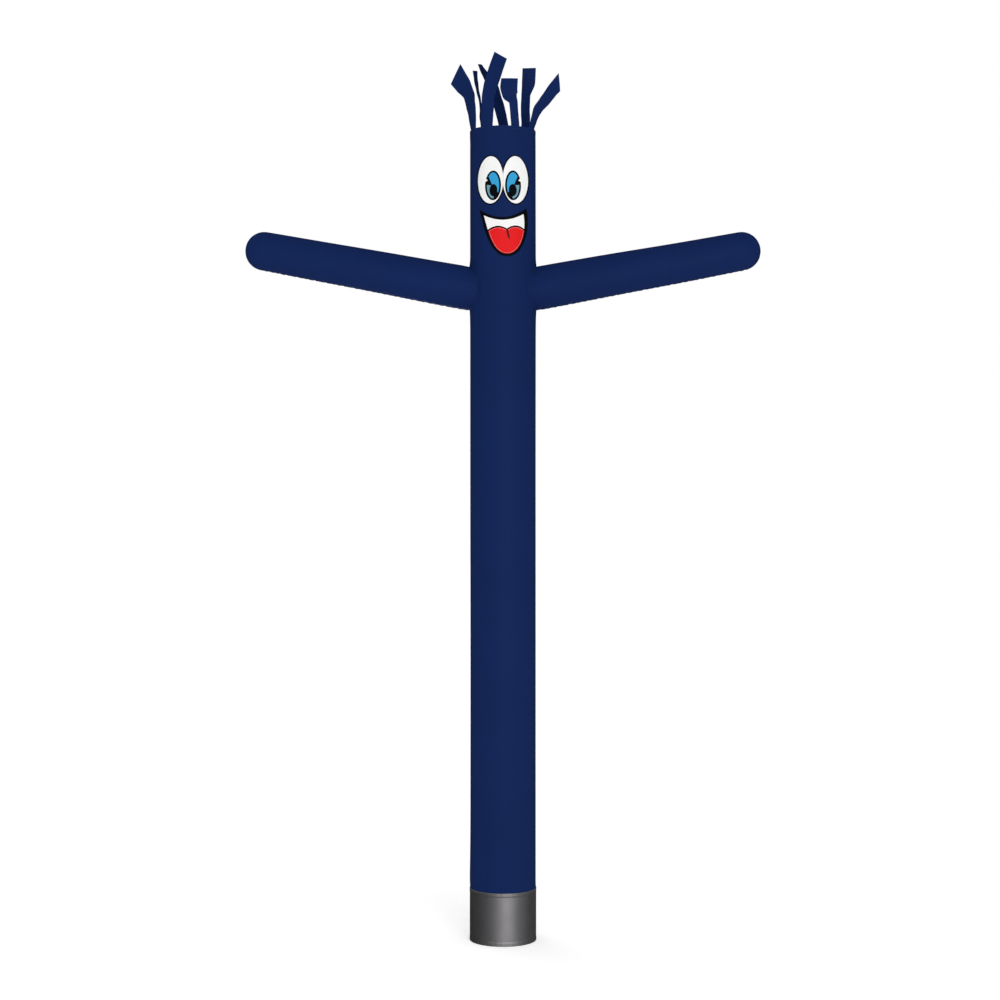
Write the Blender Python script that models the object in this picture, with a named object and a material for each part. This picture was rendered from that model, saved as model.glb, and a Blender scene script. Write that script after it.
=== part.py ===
"""An inflatable air dancer: a tall sleeve of thin nylon that a blower keeps up.

Metres, +Z up. The origin is the centre of the collar's lower edge, where the blower's outlet goes in.
The dancer faces -Y, and +X is on the right of someone who looks at its face.
"""

import math
from typing import NamedTuple

import bmesh
import bpy
from mathutils import Matrix, Vector

# Driving dimensions
OUTLET_DIAMETER = 0.4572  # an 18 inch blower outlet, which the collar goes round
RIM_HEIGHT = 5.650  # the head's open rim above the collar's lower edge
COLLAR_HEIGHT = 0.366
ARM_SPAN = 3.605  # from one arm's tip to the other's
ARM_SLOPE = math.radians(10.3)  # the arms rise towards their tips
ARM_HEIGHT = 4.552  # where an arm's axis leaves the tube's side
ARM_ROOT_RADIUS = 0.1525
ARM_TIP_RADIUS = 0.134

# Cloth and fits
CLOTH = 0.002
COATED_CLOTH = 0.0025
PATCH_CLOTH = 0.001
GAP = 0.0003  # between pieces that are sewn together
ROOT_GAP = 0.0006  # from an arm's flat-sided root to the tube's round side
OUTLET_EASE = 0.0009
LAP = 0.030  # how far the tube goes down inside the collar
HEM = 0.025
HEM_EXTRA = 0.001  # what a turned hem adds to its cloth

COLLAR_INNER = OUTLET_DIAMETER / 2 + OUTLET_EASE
COLLAR_OUTER = COLLAR_INNER + COATED_CLOTH
TUBE_OUTER = COLLAR_INNER - GAP
TUBE_INNER = TUBE_OUTER - CLOTH
TUBE_FOOT = COLLAR_HEIGHT - LAP

# How finely the round pieces are divided
TUBE_SIDES = 60
ARM_SIDES = 36
TUBE_STEP = 2 * math.pi / TUBE_SIDES

# The tube's cloth is held in by the collar: it swells just above it, in uneven flutes
SWELL = 0.0022
SWELL_PEAK = 0.09  # above the collar, where the swell is greatest
FLUTE = 0.0028
FLUTES = 11

# Heights of the tube's rows above the collar, close together where it swells
SWELL_ROWS = (0.010, 0.030, 0.060, 0.095, 0.140, 0.200, 0.280, 0.400, 0.560)
PLAIN_ROWS = (1.60, 2.90, 4.20, 4.90)


class Finish(NamedTuple):
    """The look of one kind of cloth."""

    name: str
    colour: tuple
    roughness: float


NAVY = Finish("navy_nylon", (0.010, 0.022, 0.094), 0.55)
COATED = Finish("coated_cloth", (0.045, 0.043, 0.045), 0.38)
BLACK = Finish("black_patch", (0.006, 0.008, 0.010), 0.60)
WHITE = Finish("white_patch", (0.88, 0.87, 0.84), 0.60)
BLUE = Finish("blue_patch", (0.027, 0.352, 0.716), 0.60)
GREY_BLUE = Finish("grey_blue_patch", (0.188, 0.352, 0.456), 0.60)
RED = Finish("red_patch", (0.760, 0.020, 0.025), 0.60)
DARK_RED = Finish("dark_red_patch", (0.190, 0.006, 0.008), 0.60)


def clear_scene():
    for obj in list(bpy.data.objects):
        bpy.data.objects.remove(obj)


def material_of(finish):
    made = bpy.data.materials.get(finish.name)
    if made is None:
        made = bpy.data.materials.new(finish.name)
        made.use_nodes = True
        shader = made.node_tree.nodes["Principled BSDF"]
        shader.inputs["Base Color"].default_value = (*finish.colour, 1.0)
        shader.inputs["Roughness"].default_value = finish.roughness
        shader.inputs["Metallic"].default_value = 0.0
    return made


def object_from(name, bm, finish, smooth_below=40.0):
    """One node from a finished bmesh, its faces turned outwards, its round faces shaded smooth."""
    bmesh.ops.recalc_face_normals(bm, faces=bm.faces)
    mesh = bpy.data.meshes.new(name)
    bm.to_mesh(mesh)
    bm.free()
    mesh.shade_smooth()
    mesh.set_sharp_from_angle(angle=math.radians(smooth_below))
    mesh.materials.append(material_of(finish))
    obj = bpy.data.objects.new(name, mesh)
    bpy.context.scene.collection.objects.link(obj)
    return obj


def on_circle(radius, angle, height):
    """A point round the Z axis. Angle 0 is the front, and a quarter turn is +X."""
    return Vector((radius * math.sin(angle), -radius * math.cos(angle), height))


def turned(profile, sides, closed):
    """A bmesh from a profile of (radius, height) points, spun once round the Z axis."""
    bm = bmesh.new()
    points = [bm.verts.new((0, -radius, height)) for radius, height in profile]
    pairs = list(zip(points, points[1:]))
    if closed:
        pairs.append((points[-1], points[0]))
    for a, b in pairs:
        bm.edges.new((a, b))
    bmesh.ops.spin(
        bm, geom=bm.verts[:] + bm.edges[:], cent=(0, 0, 0), axis=(0, 0, 1), angle=2 * math.pi,
        steps=sides, use_merge=True,
    )
    bmesh.ops.remove_doubles(bm, verts=bm.verts, dist=1e-5)
    return bm


def collar():
    """The band round the blower's outlet, with a turned hem at both edges."""
    profile = [
        (COLLAR_INNER, 0),
        (COLLAR_OUTER + HEM_EXTRA, 0),
        (COLLAR_OUTER + HEM_EXTRA, HEM),
        (COLLAR_OUTER, HEM + 0.002),
        (COLLAR_OUTER, COLLAR_HEIGHT - HEM - 0.002),
        (COLLAR_OUTER + HEM_EXTRA, COLLAR_HEIGHT - HEM),
        (COLLAR_OUTER + HEM_EXTRA, COLLAR_HEIGHT),
        (COLLAR_INNER, COLLAR_HEIGHT),
    ]
    return object_from("collar", turned(profile, TUBE_SIDES, closed=True), COATED)


def swell(angle, height):
    """How far the tube's cloth stands out at a place, above the collar that holds it in."""
    above = max(height - COLLAR_HEIGHT, 0) / SWELL_PEAK
    share = above * math.exp(1 - above)
    uneven = 0.7 + 0.3 * math.cos(3 * angle + 1.0)
    wave = uneven * math.sin(FLUTES * angle + 0.9 * math.sin(2 * angle))
    return share * (SWELL + FLUTE * wave) if share > 0.005 else 0.0


def arm_point(side, along, out=0.0, angle=0.0):
    """A point of an arm: along its axis from the tube's side, and out from it at an angle from its top."""
    up = Vector((-math.sin(ARM_SLOPE), 0, math.cos(ARM_SLOPE)))
    axis = Vector((math.cos(ARM_SLOPE), 0, math.sin(ARM_SLOPE)))
    root = Vector((TUBE_OUTER, 0, ARM_HEIGHT))
    place = root + along * axis + out * (math.cos(angle) * up + math.sin(angle) * Vector((0, 1, 0)))
    return Vector((side * place.x, place.y, place.z))


ARM_CAP_X = ARM_SPAN / 2 - ARM_TIP_RADIUS
ARM_LENGTH = (ARM_CAP_X - TUBE_OUTER) / math.cos(ARM_SLOPE)  # as far as the round tip's centre
ARM_DRAW_IN = 0.004  # how far the root seam pulls the sleeve in
ARM_DRAW_LENGTH = 0.05


def arm_radius(along):
    """The sleeve's outer radius: an even taper, drawn in a little at the root seam."""
    share = min(max(along / ARM_LENGTH, 0), 1)
    taper = ARM_ROOT_RADIUS + share * (ARM_TIP_RADIUS - ARM_ROOT_RADIUS)
    return taper - ARM_DRAW_IN * math.exp(-max(along, 0) / ARM_DRAW_LENGTH)


def armhole_cutter(side):
    """A tapered plug that opens the tube's wall into an arm, left out of the render."""
    inside, outside = -0.14, 0.10
    seam_allowance = 0.003
    radius = ARM_ROOT_RADIUS - ARM_DRAW_IN - CLOTH - seam_allowance
    bm = bmesh.new()
    ends = []
    for along in (inside, outside):
        ring = [
            bm.verts.new(arm_point(side, along, radius, 2 * math.pi * k / ARM_SIDES))
            for k in range(ARM_SIDES)
        ]
        ends.append(bm.faces.new(ring))
    edges = [edge for face in ends for edge in face.edges]
    bmesh.ops.bridge_loops(bm, edges=edges)
    cutter = object_from(f"armhole_cutter_{side:+d}", bm, NAVY)
    cutter.hide_render = True
    cutter.display_type = "WIRE"
    return cutter


def body_tube():
    """The tall sleeve: one wall from its lap inside the collar to the hemmed rim, with two armholes."""
    heights = [TUBE_FOOT, COLLAR_HEIGHT]
    heights += [COLLAR_HEIGHT + above for above in SWELL_ROWS]
    heights += list(PLAIN_ROWS)
    hem_foot = RIM_HEIGHT - HEM
    outside = [(TUBE_OUTER, height) for height in heights]
    outside += [(TUBE_OUTER, hem_foot - 0.002), (TUBE_OUTER + HEM_EXTRA, hem_foot)]
    outside += [(TUBE_OUTER + HEM_EXTRA, RIM_HEIGHT)]
    inside = [(TUBE_INNER, height) for height in reversed(heights)]
    bm = turned(outside + [(TUBE_INNER, RIM_HEIGHT)] + inside, TUBE_SIDES, closed=True)
    for vert in bm.verts:
        angle = math.atan2(vert.co.x, -vert.co.y)
        radius = math.hypot(vert.co.x, vert.co.y) + swell(angle, vert.co.z)
        vert.co = on_circle(radius, angle, vert.co.z)
    tube = object_from("body_tube", bm, NAVY)
    for side in (-1, 1):
        cut = tube.modifiers.new(f"armhole_{side:+d}", "BOOLEAN")
        cut.operation = "DIFFERENCE"
        cut.solver = "EXACT"
        cut.object = armhole_cutter(side)
    return tube


def root_shift(radius, angle):
    """How far along the arm's axis its cloth has to start, at one place round it, to sit on the tube."""
    clear = TUBE_OUTER + ROOT_GAP
    across = radius * math.sin(angle)
    beyond = math.sqrt(clear**2 - across**2) - TUBE_OUTER
    return (beyond + radius * math.cos(angle) * math.sin(ARM_SLOPE)) / math.cos(ARM_SLOPE)


def arm(name, side):
    """One sleeve: its wall runs from the root seam out to the round tip, and back inside."""
    stations = [0.0, 0.03, 0.08, 0.16, 0.30, 0.60, 1.00, ARM_LENGTH]
    cap_angles = [math.radians(a) for a in (18, 36, 54, 72, 84)]
    rings = []
    for layer in (0, CLOTH):
        straight = [(along, arm_radius(along) - layer) for along in stations]
        cap = ARM_TIP_RADIUS - layer
        cap_rings = [(ARM_LENGTH + cap * math.sin(a), cap * math.cos(a)) for a in cap_angles]
        rings.append((straight + cap_rings, ARM_LENGTH + cap))
    (outer, outer_tip), (inner, inner_tip) = rings
    flare_end = 0.30  # as far out as the rings still lean to fit the tube's side

    bm = bmesh.new()
    loops = []
    for along, radius in outer[::-1] + inner:
        ring = []
        for k in range(ARM_SIDES):
            angle = 2 * math.pi * k / ARM_SIDES
            lean = max(1 - along / flare_end, 0) * root_shift(radius, angle)
            ring.append(bm.verts.new(arm_point(side, along + lean, radius, angle)))
        loops.append(ring)
    for first, second in zip(loops, loops[1:]):
        for k in range(ARM_SIDES):
            after = (k + 1) % ARM_SIDES
            bm.faces.new((first[k], first[after], second[after], second[k]))
    for ring, tip in ((loops[0], outer_tip), (loops[-1], inner_tip)):
        pole = bm.verts.new(arm_point(side, tip))
        for k in range(ARM_SIDES):
            bm.faces.new((ring[k], ring[(k + 1) % ARM_SIDES], pole))
    return object_from(name, bm, NAVY)


class Station(NamedTuple):
    """One place along a hair ribbon, in metres, with the heading of its width in degrees."""

    up: float  # above the rim
    across: float  # +X
    deep: float  # +Y
    width: float
    heading: float  # 0 shows its whole width to the front, 90 shows its edge


class Hair(NamedTuple):
    """A hair ribbon: where its root is round the rim, how its end is cut, and its run, from the lowest."""

    root: float  # degrees from the front
    slant: float  # how much longer its right edge is, as a share of its width
    stations: tuple


RIBBONS = {
    "streamer_1": Hair(-70, 0.52, (
        Station(0.115, -0.224, -0.104, 0.108, -58),
        Station(0.228, -0.232, -0.112, 0.115, -48),
        Station(0.298, -0.276, -0.125, 0.130, -22),
        Station(0.372, -0.330, -0.140, 0.136, -10),
    )),
    "streamer_2": Hair(-147, 0.0, (
        Station(0.100, -0.142, 0.190, 0.076, -116),
        Station(0.230, -0.164, 0.190, 0.072, -104),
        Station(0.370, -0.186, 0.180, 0.080, -109),
        Station(0.466, -0.195, 0.165, 0.084, -112),
    )),
    "streamer_3": Hair(-30, -0.17, (
        Station(0.090, -0.111, -0.203, 0.092, -22),
        Station(0.200, -0.104, -0.205, 0.090, -16),
        Station(0.300, -0.080, -0.200, 0.100, -4),
        Station(0.400, -0.050, -0.180, 0.100, 4),
        Station(0.501, -0.016, -0.150, 0.098, 10),
    )),
    "streamer_4": Hair(175, 0.3, (
        Station(0.110, 0.000, 0.222, 0.070, 170),
        Station(0.240, -0.030, 0.212, 0.080, 158),
        Station(0.350, -0.071, 0.190, 0.092, 150),
        Station(0.440, -0.123, 0.165, 0.076, 128),
        Station(0.505, -0.160, 0.140, 0.050, 118),
    )),
    "streamer_5": Hair(22, 0.06, (
        Station(0.090, 0.079, -0.220, 0.062, 24),
        Station(0.165, 0.071, -0.226, 0.062, 18),
        Station(0.205, 0.048, -0.226, 0.106, 6),
        Station(0.260, 0.039, -0.222, 0.120, 2),
        Station(0.327, 0.045, -0.210, 0.115, -2),
    )),
    "streamer_6": Hair(136, -0.07, (
        Station(0.110, 0.160, 0.172, 0.078, 142),
        Station(0.220, 0.161, 0.182, 0.072, 152),
        Station(0.300, 0.163, 0.183, 0.068, 160),
        Station(0.375, 0.181, 0.180, 0.096, 172),
        Station(0.485, 0.186, 0.165, 0.095, 178),
    )),
    "streamer_7": Hair(63, -0.9, (
        Station(0.070, 0.221, -0.106, 0.084, 58),
        Station(0.146, 0.250, -0.106, 0.086, 42),
        Station(0.202, 0.291, -0.102, 0.088, 32),
        Station(0.270, 0.344, -0.096, 0.090, 24),
        Station(0.328, 0.393, -0.090, 0.092, 18),
    )),
}
ROOT_TUCK = 0.035  # how far a ribbon's root goes down inside the rim
ROOT_FREE = 0.010  # how far above the rim it starts to lean
ROOT_RADIUS = TUBE_INNER * math.cos(TUBE_STEP / 2) - GAP - CLOTH / 2
SLANT_FROM = 0.7  # the share of a ribbon's run past which its rows start to slant
RIBBON_ROWS = 15
RIBBON_COLUMNS = 4


def smooth_mix(rows, place):
    """A row of numbers read from a smooth curve through the rows, at a place from 0 to 1."""
    spot = place * (len(rows) - 1)
    index = min(int(spot), len(rows) - 2)
    t = spot - index
    before, after = rows[max(index - 1, 0)], rows[min(index + 2, len(rows) - 1)]
    here, there = rows[index], rows[index + 1]
    mixed = []
    for p, a, b, n in zip(before, here, there, after):
        cubic = 2 * a + (b - p) * t + (2 * p - 5 * a + 4 * b - n) * t**2 + (3 * a - p - 3 * b + n) * t**3
        mixed.append(cubic / 2)
    return mixed


def ribbon(name, hair):
    """One ribbon of the hair: sewn flat to the inside of the rim, then free, turning and bending."""
    root_angle = math.radians(hair.root)
    rows = []
    for up in (-ROOT_TUCK, ROOT_FREE):
        place = on_circle(ROOT_RADIUS, root_angle, up)
        rows.append((up, place.x, place.y, hair.stations[0].width, hair.root))
    rows += hair.stations

    spots = [k / RIBBON_ROWS for k in range(RIBBON_ROWS + 1)]
    places = [smooth_mix(rows, spot) for spot in spots]
    centres = [Vector((across, deep, RIM_HEIGHT + up)) for up, across, deep, _, _ in places]

    bm = bmesh.new()
    grid = []
    for k, (up, _, _, width, heading) in enumerate(places):
        run = (centres[min(k + 1, RIBBON_ROWS)] - centres[max(k - 1, 0)]).normalized()
        turn = math.radians(heading)
        wide = Vector((math.cos(turn), math.sin(turn), 0))
        wide = (wide - wide.dot(run) * run).normalized()
        outward = wide.cross(run)
        bend = max(1 - max(up - ROOT_FREE, 0) / 0.25, 0.15) / ROOT_RADIUS
        line = []
        for column in range(RIBBON_COLUMNS + 1):
            aside = width * (column / RIBBON_COLUMNS - 0.5)
            if up <= ROOT_FREE:
                spot = on_circle(ROOT_RADIUS, root_angle + aside / ROOT_RADIUS, RIM_HEIGHT + up)
            else:
                slant = hair.slant * max(spots[k] - SLANT_FROM, 0) / (1 - SLANT_FROM)
                spot = centres[k] + aside * (wide + slant * run) - bend * aside**2 / 2 * outward
            line.append(bm.verts.new(spot))
        grid.append(line)
    for lower, upper in zip(grid, grid[1:]):
        for column in range(RIBBON_COLUMNS):
            bm.faces.new((lower[column], lower[column + 1], upper[column + 1], upper[column]))
    obj = object_from(name, bm, NAVY)
    thick = obj.modifiers.new("cloth", "SOLIDIFY")
    thick.thickness = CLOTH
    thick.offset = 0
    thick.use_even_offset = True
    return obj


class Oval(NamedTuple):
    """Half an oval's width and height, and the place of its centre."""

    across: float
    up: float
    wide: float
    tall: float


# The face, as seen from the front: places across (x) and up (z) from the point between the eyes
FACE_HEIGHT = 5.274
OUTLINE = 0.0095  # how far the black backing shows round the white
EYE = Oval(0.0851, 0.0035, 0.0866, 0.1625)
EYES_APART = 0.0008  # between the two whites, where they meet
IRIS = Oval(0.0678, -0.0360, 0.0540, 0.1020)
IRIS_RING = 0.0125
PUPIL = Oval(0.0652, -0.0695, 0.0262, 0.0415)
NOTCH_TOP, NOTCH_FOOT, NOTCH_DEEP = 0.049, 0.026, 0.019  # the bite in the iris's outer side
WEDGE_TOP, WEDGE_FOOT = 0.062, 0.006  # the dark wedge between the iris's two blues
BLUE_END = 0.050  # how far below the iris's centre the bright blue goes, on the inner side
MOUTH_TOP, MOUTH_WIDE, MOUTH_DEEP, MOUTH_SAG = -0.192, 0.161, 0.332, 0.063
MOUTH_ROUNDNESS = 0.46
MOUTH_SHIFT, MOUTH_LEAN = 0.0005, 0.027  # how far its top lies to the right, and its bottom beyond that
MOUTH_TILT = 0.005  # how much higher its right corner is, and lower its left one
LIP = 0.0255
LIP_ABOVE, LIP_BELOW = 0.90, 0.75  # the lip's shares above and below the mouth
TEETH_DROP, TEETH_SAG = 0.041, 0.041
TONGUE_TOP, TONGUE_HUMP, TONGUE_VALLEY = -0.346, 0.022, 0.52
TONGUE_LINE = 0.011
CREASE_WIDE, CREASE_LONG, CREASE_LEAN, CREASE_DROP = 0.013, 0.060, 0.015, 0.002


def oval_points(oval, start=0.0, end=2 * math.pi, points=32, inset=0.0):
    """Points of an oval, or of a stretch of it, anticlockwise from its right."""
    turns = [start + (end - start) * k / points for k in range(points + 1)]
    if math.isclose(end - start, 2 * math.pi):
        turns.pop()
    wide, tall = oval.wide - inset, oval.tall - inset
    return [(oval.across + wide * math.cos(t), oval.up + tall * math.sin(t)) for t in turns]


def eyes_outline(points=40):
    """The outline of the two eyes with their black border, which run into each other at the middle."""
    wide, tall = EYE.wide + OUTLINE, EYE.tall + OUTLINE
    meeting = math.acos(-EYE.across / wide)
    turns = [meeting * (2 * k / points - 1) for k in range(points + 1)]
    right = [(EYE.across + wide * math.cos(t), EYE.up + tall * math.sin(t)) for t in turns]
    right[0] = (0.0, right[0][1])
    right[-1] = (0.0, right[-1][1])
    return right + [(-x, z) for x, z in right[1:-1]][::-1]


def eye_outline():
    """The right eye's white, cut off straight where it meets the left one."""
    return [(max(x, EYES_APART / 2), z) for x, z in oval_points(EYE)]


def turn_at(up, inset=0.0):
    """The turn, from the right, of the iris's oval where it is this far above its centre."""
    return math.asin(up / (IRIS.tall - inset))


def ring_outline():
    """The right eye's iris ring: an oval with a bite in its outer side."""
    top, foot = turn_at(NOTCH_TOP), turn_at(NOTCH_FOOT)
    bite = (IRIS.across + IRIS.wide - NOTCH_DEEP, IRIS.up + (NOTCH_TOP + NOTCH_FOOT) / 2)
    return oval_points(IRIS, top, foot + 2 * math.pi, 34) + [bite]


def iris_outline():
    """The right eye's bright blue: over the top and down the inner side, to beside the pupil."""
    start, end = turn_at(WEDGE_TOP, IRIS_RING), math.pi + turn_at(BLUE_END, IRIS_RING)
    edge = oval_points(IRIS, start, end, 20, IRIS_RING)
    return edge + [
        (PUPIL.across - 0.006, PUPIL.up),
        (PUPIL.across + 0.006, PUPIL.up + 0.71 * PUPIL.tall),
    ]


def iris_shade_outline():
    """The right eye's greyer blue: below the dark wedge, down the outer side."""
    edge = oval_points(IRIS, 1.47 * math.pi, turn_at(WEDGE_FOOT, IRIS_RING) + 2 * math.pi, 10, IRIS_RING)
    return edge + [
        (PUPIL.across + 0.0113, PUPIL.up + 0.81 * PUPIL.tall),
        (PUPIL.across + 0.003, PUPIL.up),
    ]


def lean(share):
    """How far to the right the mouth's middle lies at a share of its depth."""
    return MOUTH_SHIFT + MOUTH_LEAN * (1 - (1 - min(max(share, 0), 1)) ** 2.6)


def inside_depth(inset):
    return MOUTH_DEEP - (LIP_ABOVE + LIP_BELOW) * inset


def mouth_place(side, share, inset=0.0):
    """A point of the mouth's left (-1), right (+1) or middle (0), at a share of its depth."""
    wide = (MOUTH_WIDE - inset) * (1 - share**2) ** MOUTH_ROUNDNESS
    height = MOUTH_TOP - LIP_ABOVE * inset - inside_depth(inset) * share
    return side * wide + lean(share), height + side * MOUTH_TILT * (1 - share**2)


def share_at(height, inset=0.0):
    """The share of the mouth's depth at which its edge has this height."""
    return (MOUTH_TOP - LIP_ABOVE * inset - height) / inside_depth(inset)


def sagging(left, right, sag, points=14):
    """An edge from one corner to the other, hanging down in the middle."""
    shares = [k / points for k in range(points + 1)]
    return [
        (left[0] + (right[0] - left[0]) * s, left[1] + (right[1] - left[1]) * s - sag * 4 * s * (1 - s))
        for s in shares
    ]


def mouth_below(inset, first_share, points=26):
    """The mouth's lower edge from its right side, round the bottom, to its left side."""
    start = math.asin(first_share)
    turns = [start + (math.pi - 2 * start) * k / points for k in range(points + 1)]
    sides = [(turn < math.pi / 2) - (turn > math.pi / 2) for turn in turns]
    sides[points // 2] = 0
    return [mouth_place(side, min(math.sin(turn), 1), inset) for side, turn in zip(sides, turns)]


def mouth_outline():
    lip = sagging(mouth_place(-1, 0), mouth_place(1, 0), MOUTH_SAG)
    return lip + mouth_below(0, 0.0)[1:-1]


def tongue_top(lift, points=8):
    """The tongue's upper edge from left to right: two humps, and a valley between them."""
    share = share_at(TONGUE_TOP + lift, LIP)
    left, right = mouth_place(-1, share, LIP), mouth_place(1, share, LIP)
    top = []
    for k in range(2 * points + 1):
        past = k / points
        s = TONGUE_VALLEY * past if past <= 1 else TONGUE_VALLEY + (1 - TONGUE_VALLEY) * (past - 1)
        hump = TONGUE_HUMP * abs(math.sin(math.pi * past)) ** 0.8
        top.append((left[0] + (right[0] - left[0]) * s, left[1] + (right[1] - left[1]) * s + hump))
    return top


def teeth_outline():
    shares = [share_at(z, LIP) for z in (MOUTH_TOP - TEETH_DROP, TONGUE_TOP + TONGUE_LINE)]
    steps = 4
    between = [shares[0] + (shares[1] - shares[0]) * k / steps for k in range(1, steps)]
    top = sagging(mouth_place(-1, shares[0], LIP), mouth_place(1, shares[0], LIP), TEETH_SAG)
    right = [mouth_place(1, share, LIP) for share in between]
    left = [mouth_place(-1, share, LIP) for share in reversed(between)]
    return top + right + tongue_top(TONGUE_LINE)[::-1] + left


def tongue_outline():
    return tongue_top(0) + mouth_below(LIP, share_at(TONGUE_TOP, LIP))[1:-1]


def crease_outline(points=7):
    """The line down the tongue's middle, leaning a little, with a blunt end."""
    top = tongue_top(0)
    across, up = top[len(top) // 2]
    up -= CREASE_DROP
    left, right = [], []
    for k in range(points):
        share = k / points
        half = CREASE_WIDE / 2 * (1 - share**4) ** 0.5
        centre, height = across + CREASE_LEAN * share, up - CREASE_LONG * share
        left.append((centre - half, height))
        right.append((centre + half, height))
    return right + [(across + CREASE_LEAN, up - CREASE_LONG)] + left[::-1]


def on_flats(radius, x):
    """Where a point seen from the front lies on the tube's flats, for a radius at their edges."""
    angle = math.asin(x / TUBE_OUTER)
    from_edge = angle % TUBE_STEP
    flat = radius * math.cos(TUBE_STEP / 2) / math.cos(from_edge - TUBE_STEP / 2)
    return flat * math.sin(angle), -flat * math.cos(angle)


def patch(name, outline, layer, finish):
    """A piece of cloth sewn on the tube's front, or on the patch below it, with a given outline."""
    inner = TUBE_OUTER + GAP + layer * (PATCH_CLOTH + GAP)
    bm = bmesh.new()
    bm.faces.new([bm.verts.new((x, 0, z)) for x, z in outline])
    for k in range(-TUBE_SIDES // 4 + 1, TUBE_SIDES // 4):
        bmesh.ops.bisect_plane(
            bm, geom=bm.verts[:] + bm.edges[:] + bm.faces[:], dist=1e-6,
            plane_co=(TUBE_OUTER * math.sin(k * TUBE_STEP), 0, 0), plane_no=(1, 0, 0),
        )
    for vert in bm.verts:
        vert.co = Vector((*on_flats(inner, vert.co.x), FACE_HEIGHT + vert.co.z))
    raised = bmesh.ops.extrude_face_region(bm, geom=bm.faces[:], use_keep_orig=True)["geom"]
    growth = (inner + PATCH_CLOTH) / inner
    bmesh.ops.scale(
        bm, verts=[part for part in raised if isinstance(part, bmesh.types.BMVert)],
        vec=(growth, growth, 1),
    )
    return object_from(name, bm, finish)


def face():
    """The grin: laid-on patches, each on the one below it."""
    patch("eye_backing", eyes_outline(), 0, BLACK)
    pieces = (
        ("eye_white", eye_outline(), 1, WHITE),
        ("iris_ring", ring_outline(), 2, BLACK),
        ("iris", iris_outline(), 3, BLUE),
        ("iris_shade", iris_shade_outline(), 3, GREY_BLUE),
        ("pupil", oval_points(PUPIL, points=24), 4, BLACK),
    )
    for side, word in ((-1, "left"), (1, "right")):
        for name, outline, layer, finish in pieces:
            patch(f"{name}_{word}", [(side * x, z) for x, z in outline], layer, finish)
    patch("mouth_backing", mouth_outline(), 0, BLACK)
    patch("teeth", teeth_outline(), 1, WHITE)
    patch("tongue", tongue_outline(), 1, RED)
    patch("tongue_crease", crease_outline(), 2, DARK_RED)


def main():
    clear_scene()
    collar()
    body_tube()
    arm("arm_left", -1)
    arm("arm_right", 1)
    for name, hair in RIBBONS.items():
        ribbon(name, hair)
    face()


main()
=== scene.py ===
"""The looks of an inflatable air dancer: sewn nylon, thread, hair ribbons and a laid-on face.

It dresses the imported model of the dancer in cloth, piece by piece. Metres, +Z up; the face looks
along -Y, and +X is on the right of someone who looks at it.
"""

import math
from typing import NamedTuple

import bmesh
import bpy
import numpy as np
from bpy.props import FloatProperty, FloatVectorProperty, PointerProperty
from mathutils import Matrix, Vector


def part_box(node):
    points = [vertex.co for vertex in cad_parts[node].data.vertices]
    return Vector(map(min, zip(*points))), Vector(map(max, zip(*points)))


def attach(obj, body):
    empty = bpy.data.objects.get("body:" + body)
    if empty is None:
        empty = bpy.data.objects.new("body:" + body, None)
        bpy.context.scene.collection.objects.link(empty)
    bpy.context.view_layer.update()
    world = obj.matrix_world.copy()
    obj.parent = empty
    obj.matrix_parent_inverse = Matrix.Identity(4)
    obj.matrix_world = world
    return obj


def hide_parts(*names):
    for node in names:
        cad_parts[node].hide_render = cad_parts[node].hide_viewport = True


bl_info = {
    "name": "Air Dancer",
    "version": (1, 0, 0),
    "blender": (4, 5, 0),
    "location": "View3D > Sidebar > Air Dancer",
    "description": "Dresses an inflatable air dancer in sewn cloth",
    "category": "Mesh",
}

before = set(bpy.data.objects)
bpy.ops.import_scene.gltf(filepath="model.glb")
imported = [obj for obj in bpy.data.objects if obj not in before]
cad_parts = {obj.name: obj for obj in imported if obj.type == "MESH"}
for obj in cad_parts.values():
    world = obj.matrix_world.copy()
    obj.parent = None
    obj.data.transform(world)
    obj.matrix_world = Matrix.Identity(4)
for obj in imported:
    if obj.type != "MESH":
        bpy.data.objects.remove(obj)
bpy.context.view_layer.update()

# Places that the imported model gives
RIM_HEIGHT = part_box("body_tube")[1].z
TUBE_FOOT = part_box("body_tube")[0].z
COLLAR_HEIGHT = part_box("collar")[1].z
COLLAR_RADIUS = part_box("collar")[1].x - 0.001  # its cloth, without the turned hem
ARM_TIP_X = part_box("arm_right")[1].x

# The tube and its relief
TUBE_RADIUS = 0.2292
HEM = 0.025
HEM_EXTRA = 0.001  # how far a turned hem stands out
HEM_STEP = 0.001  # over how much of the height it does so
SWELL = 0.0022  # how far the tube swells out above the collar
SWELL_PEAK = 0.09  # how far above the collar it swells most
FLUTES = 11

# The arms
ARM_SLOPE = math.radians(10.3)
ARM_HEIGHT = 4.552
ARM_ROOT_RADIUS = 0.1525
ARM_TIP_RADIUS = 0.134
ARM_LENGTH = (ARM_TIP_X - ARM_TIP_RADIUS - TUBE_RADIUS) / math.cos(ARM_SLOPE)
ARM_DRAW_IN = 0.004  # how far the seam at its root draws an arm in
ARM_DRAW_LENGTH = 0.05
ARM_UP = np.array((-math.sin(ARM_SLOPE), 0.0, math.cos(ARM_SLOPE)))
ARM_AXIS = np.array((math.cos(ARM_SLOPE), 0.0, math.sin(ARM_SLOPE)))
ARM_ROOT = np.array((TUBE_RADIUS, 0.0, ARM_HEIGHT))
ARMHOLE_RISE = 0.0035  # how far the tube's cloth rises at an armhole
ARM_ROOT_OUT = 0.0033  # how far out from the plain tube an arm's root lies, on that rise
SEAM_ALLOWANCE = 0.008  # cloth of the arm that goes in through the armhole
ARMHOLE_RADIUS = ARM_ROOT_RADIUS - ARM_DRAW_IN - 0.0006

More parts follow.
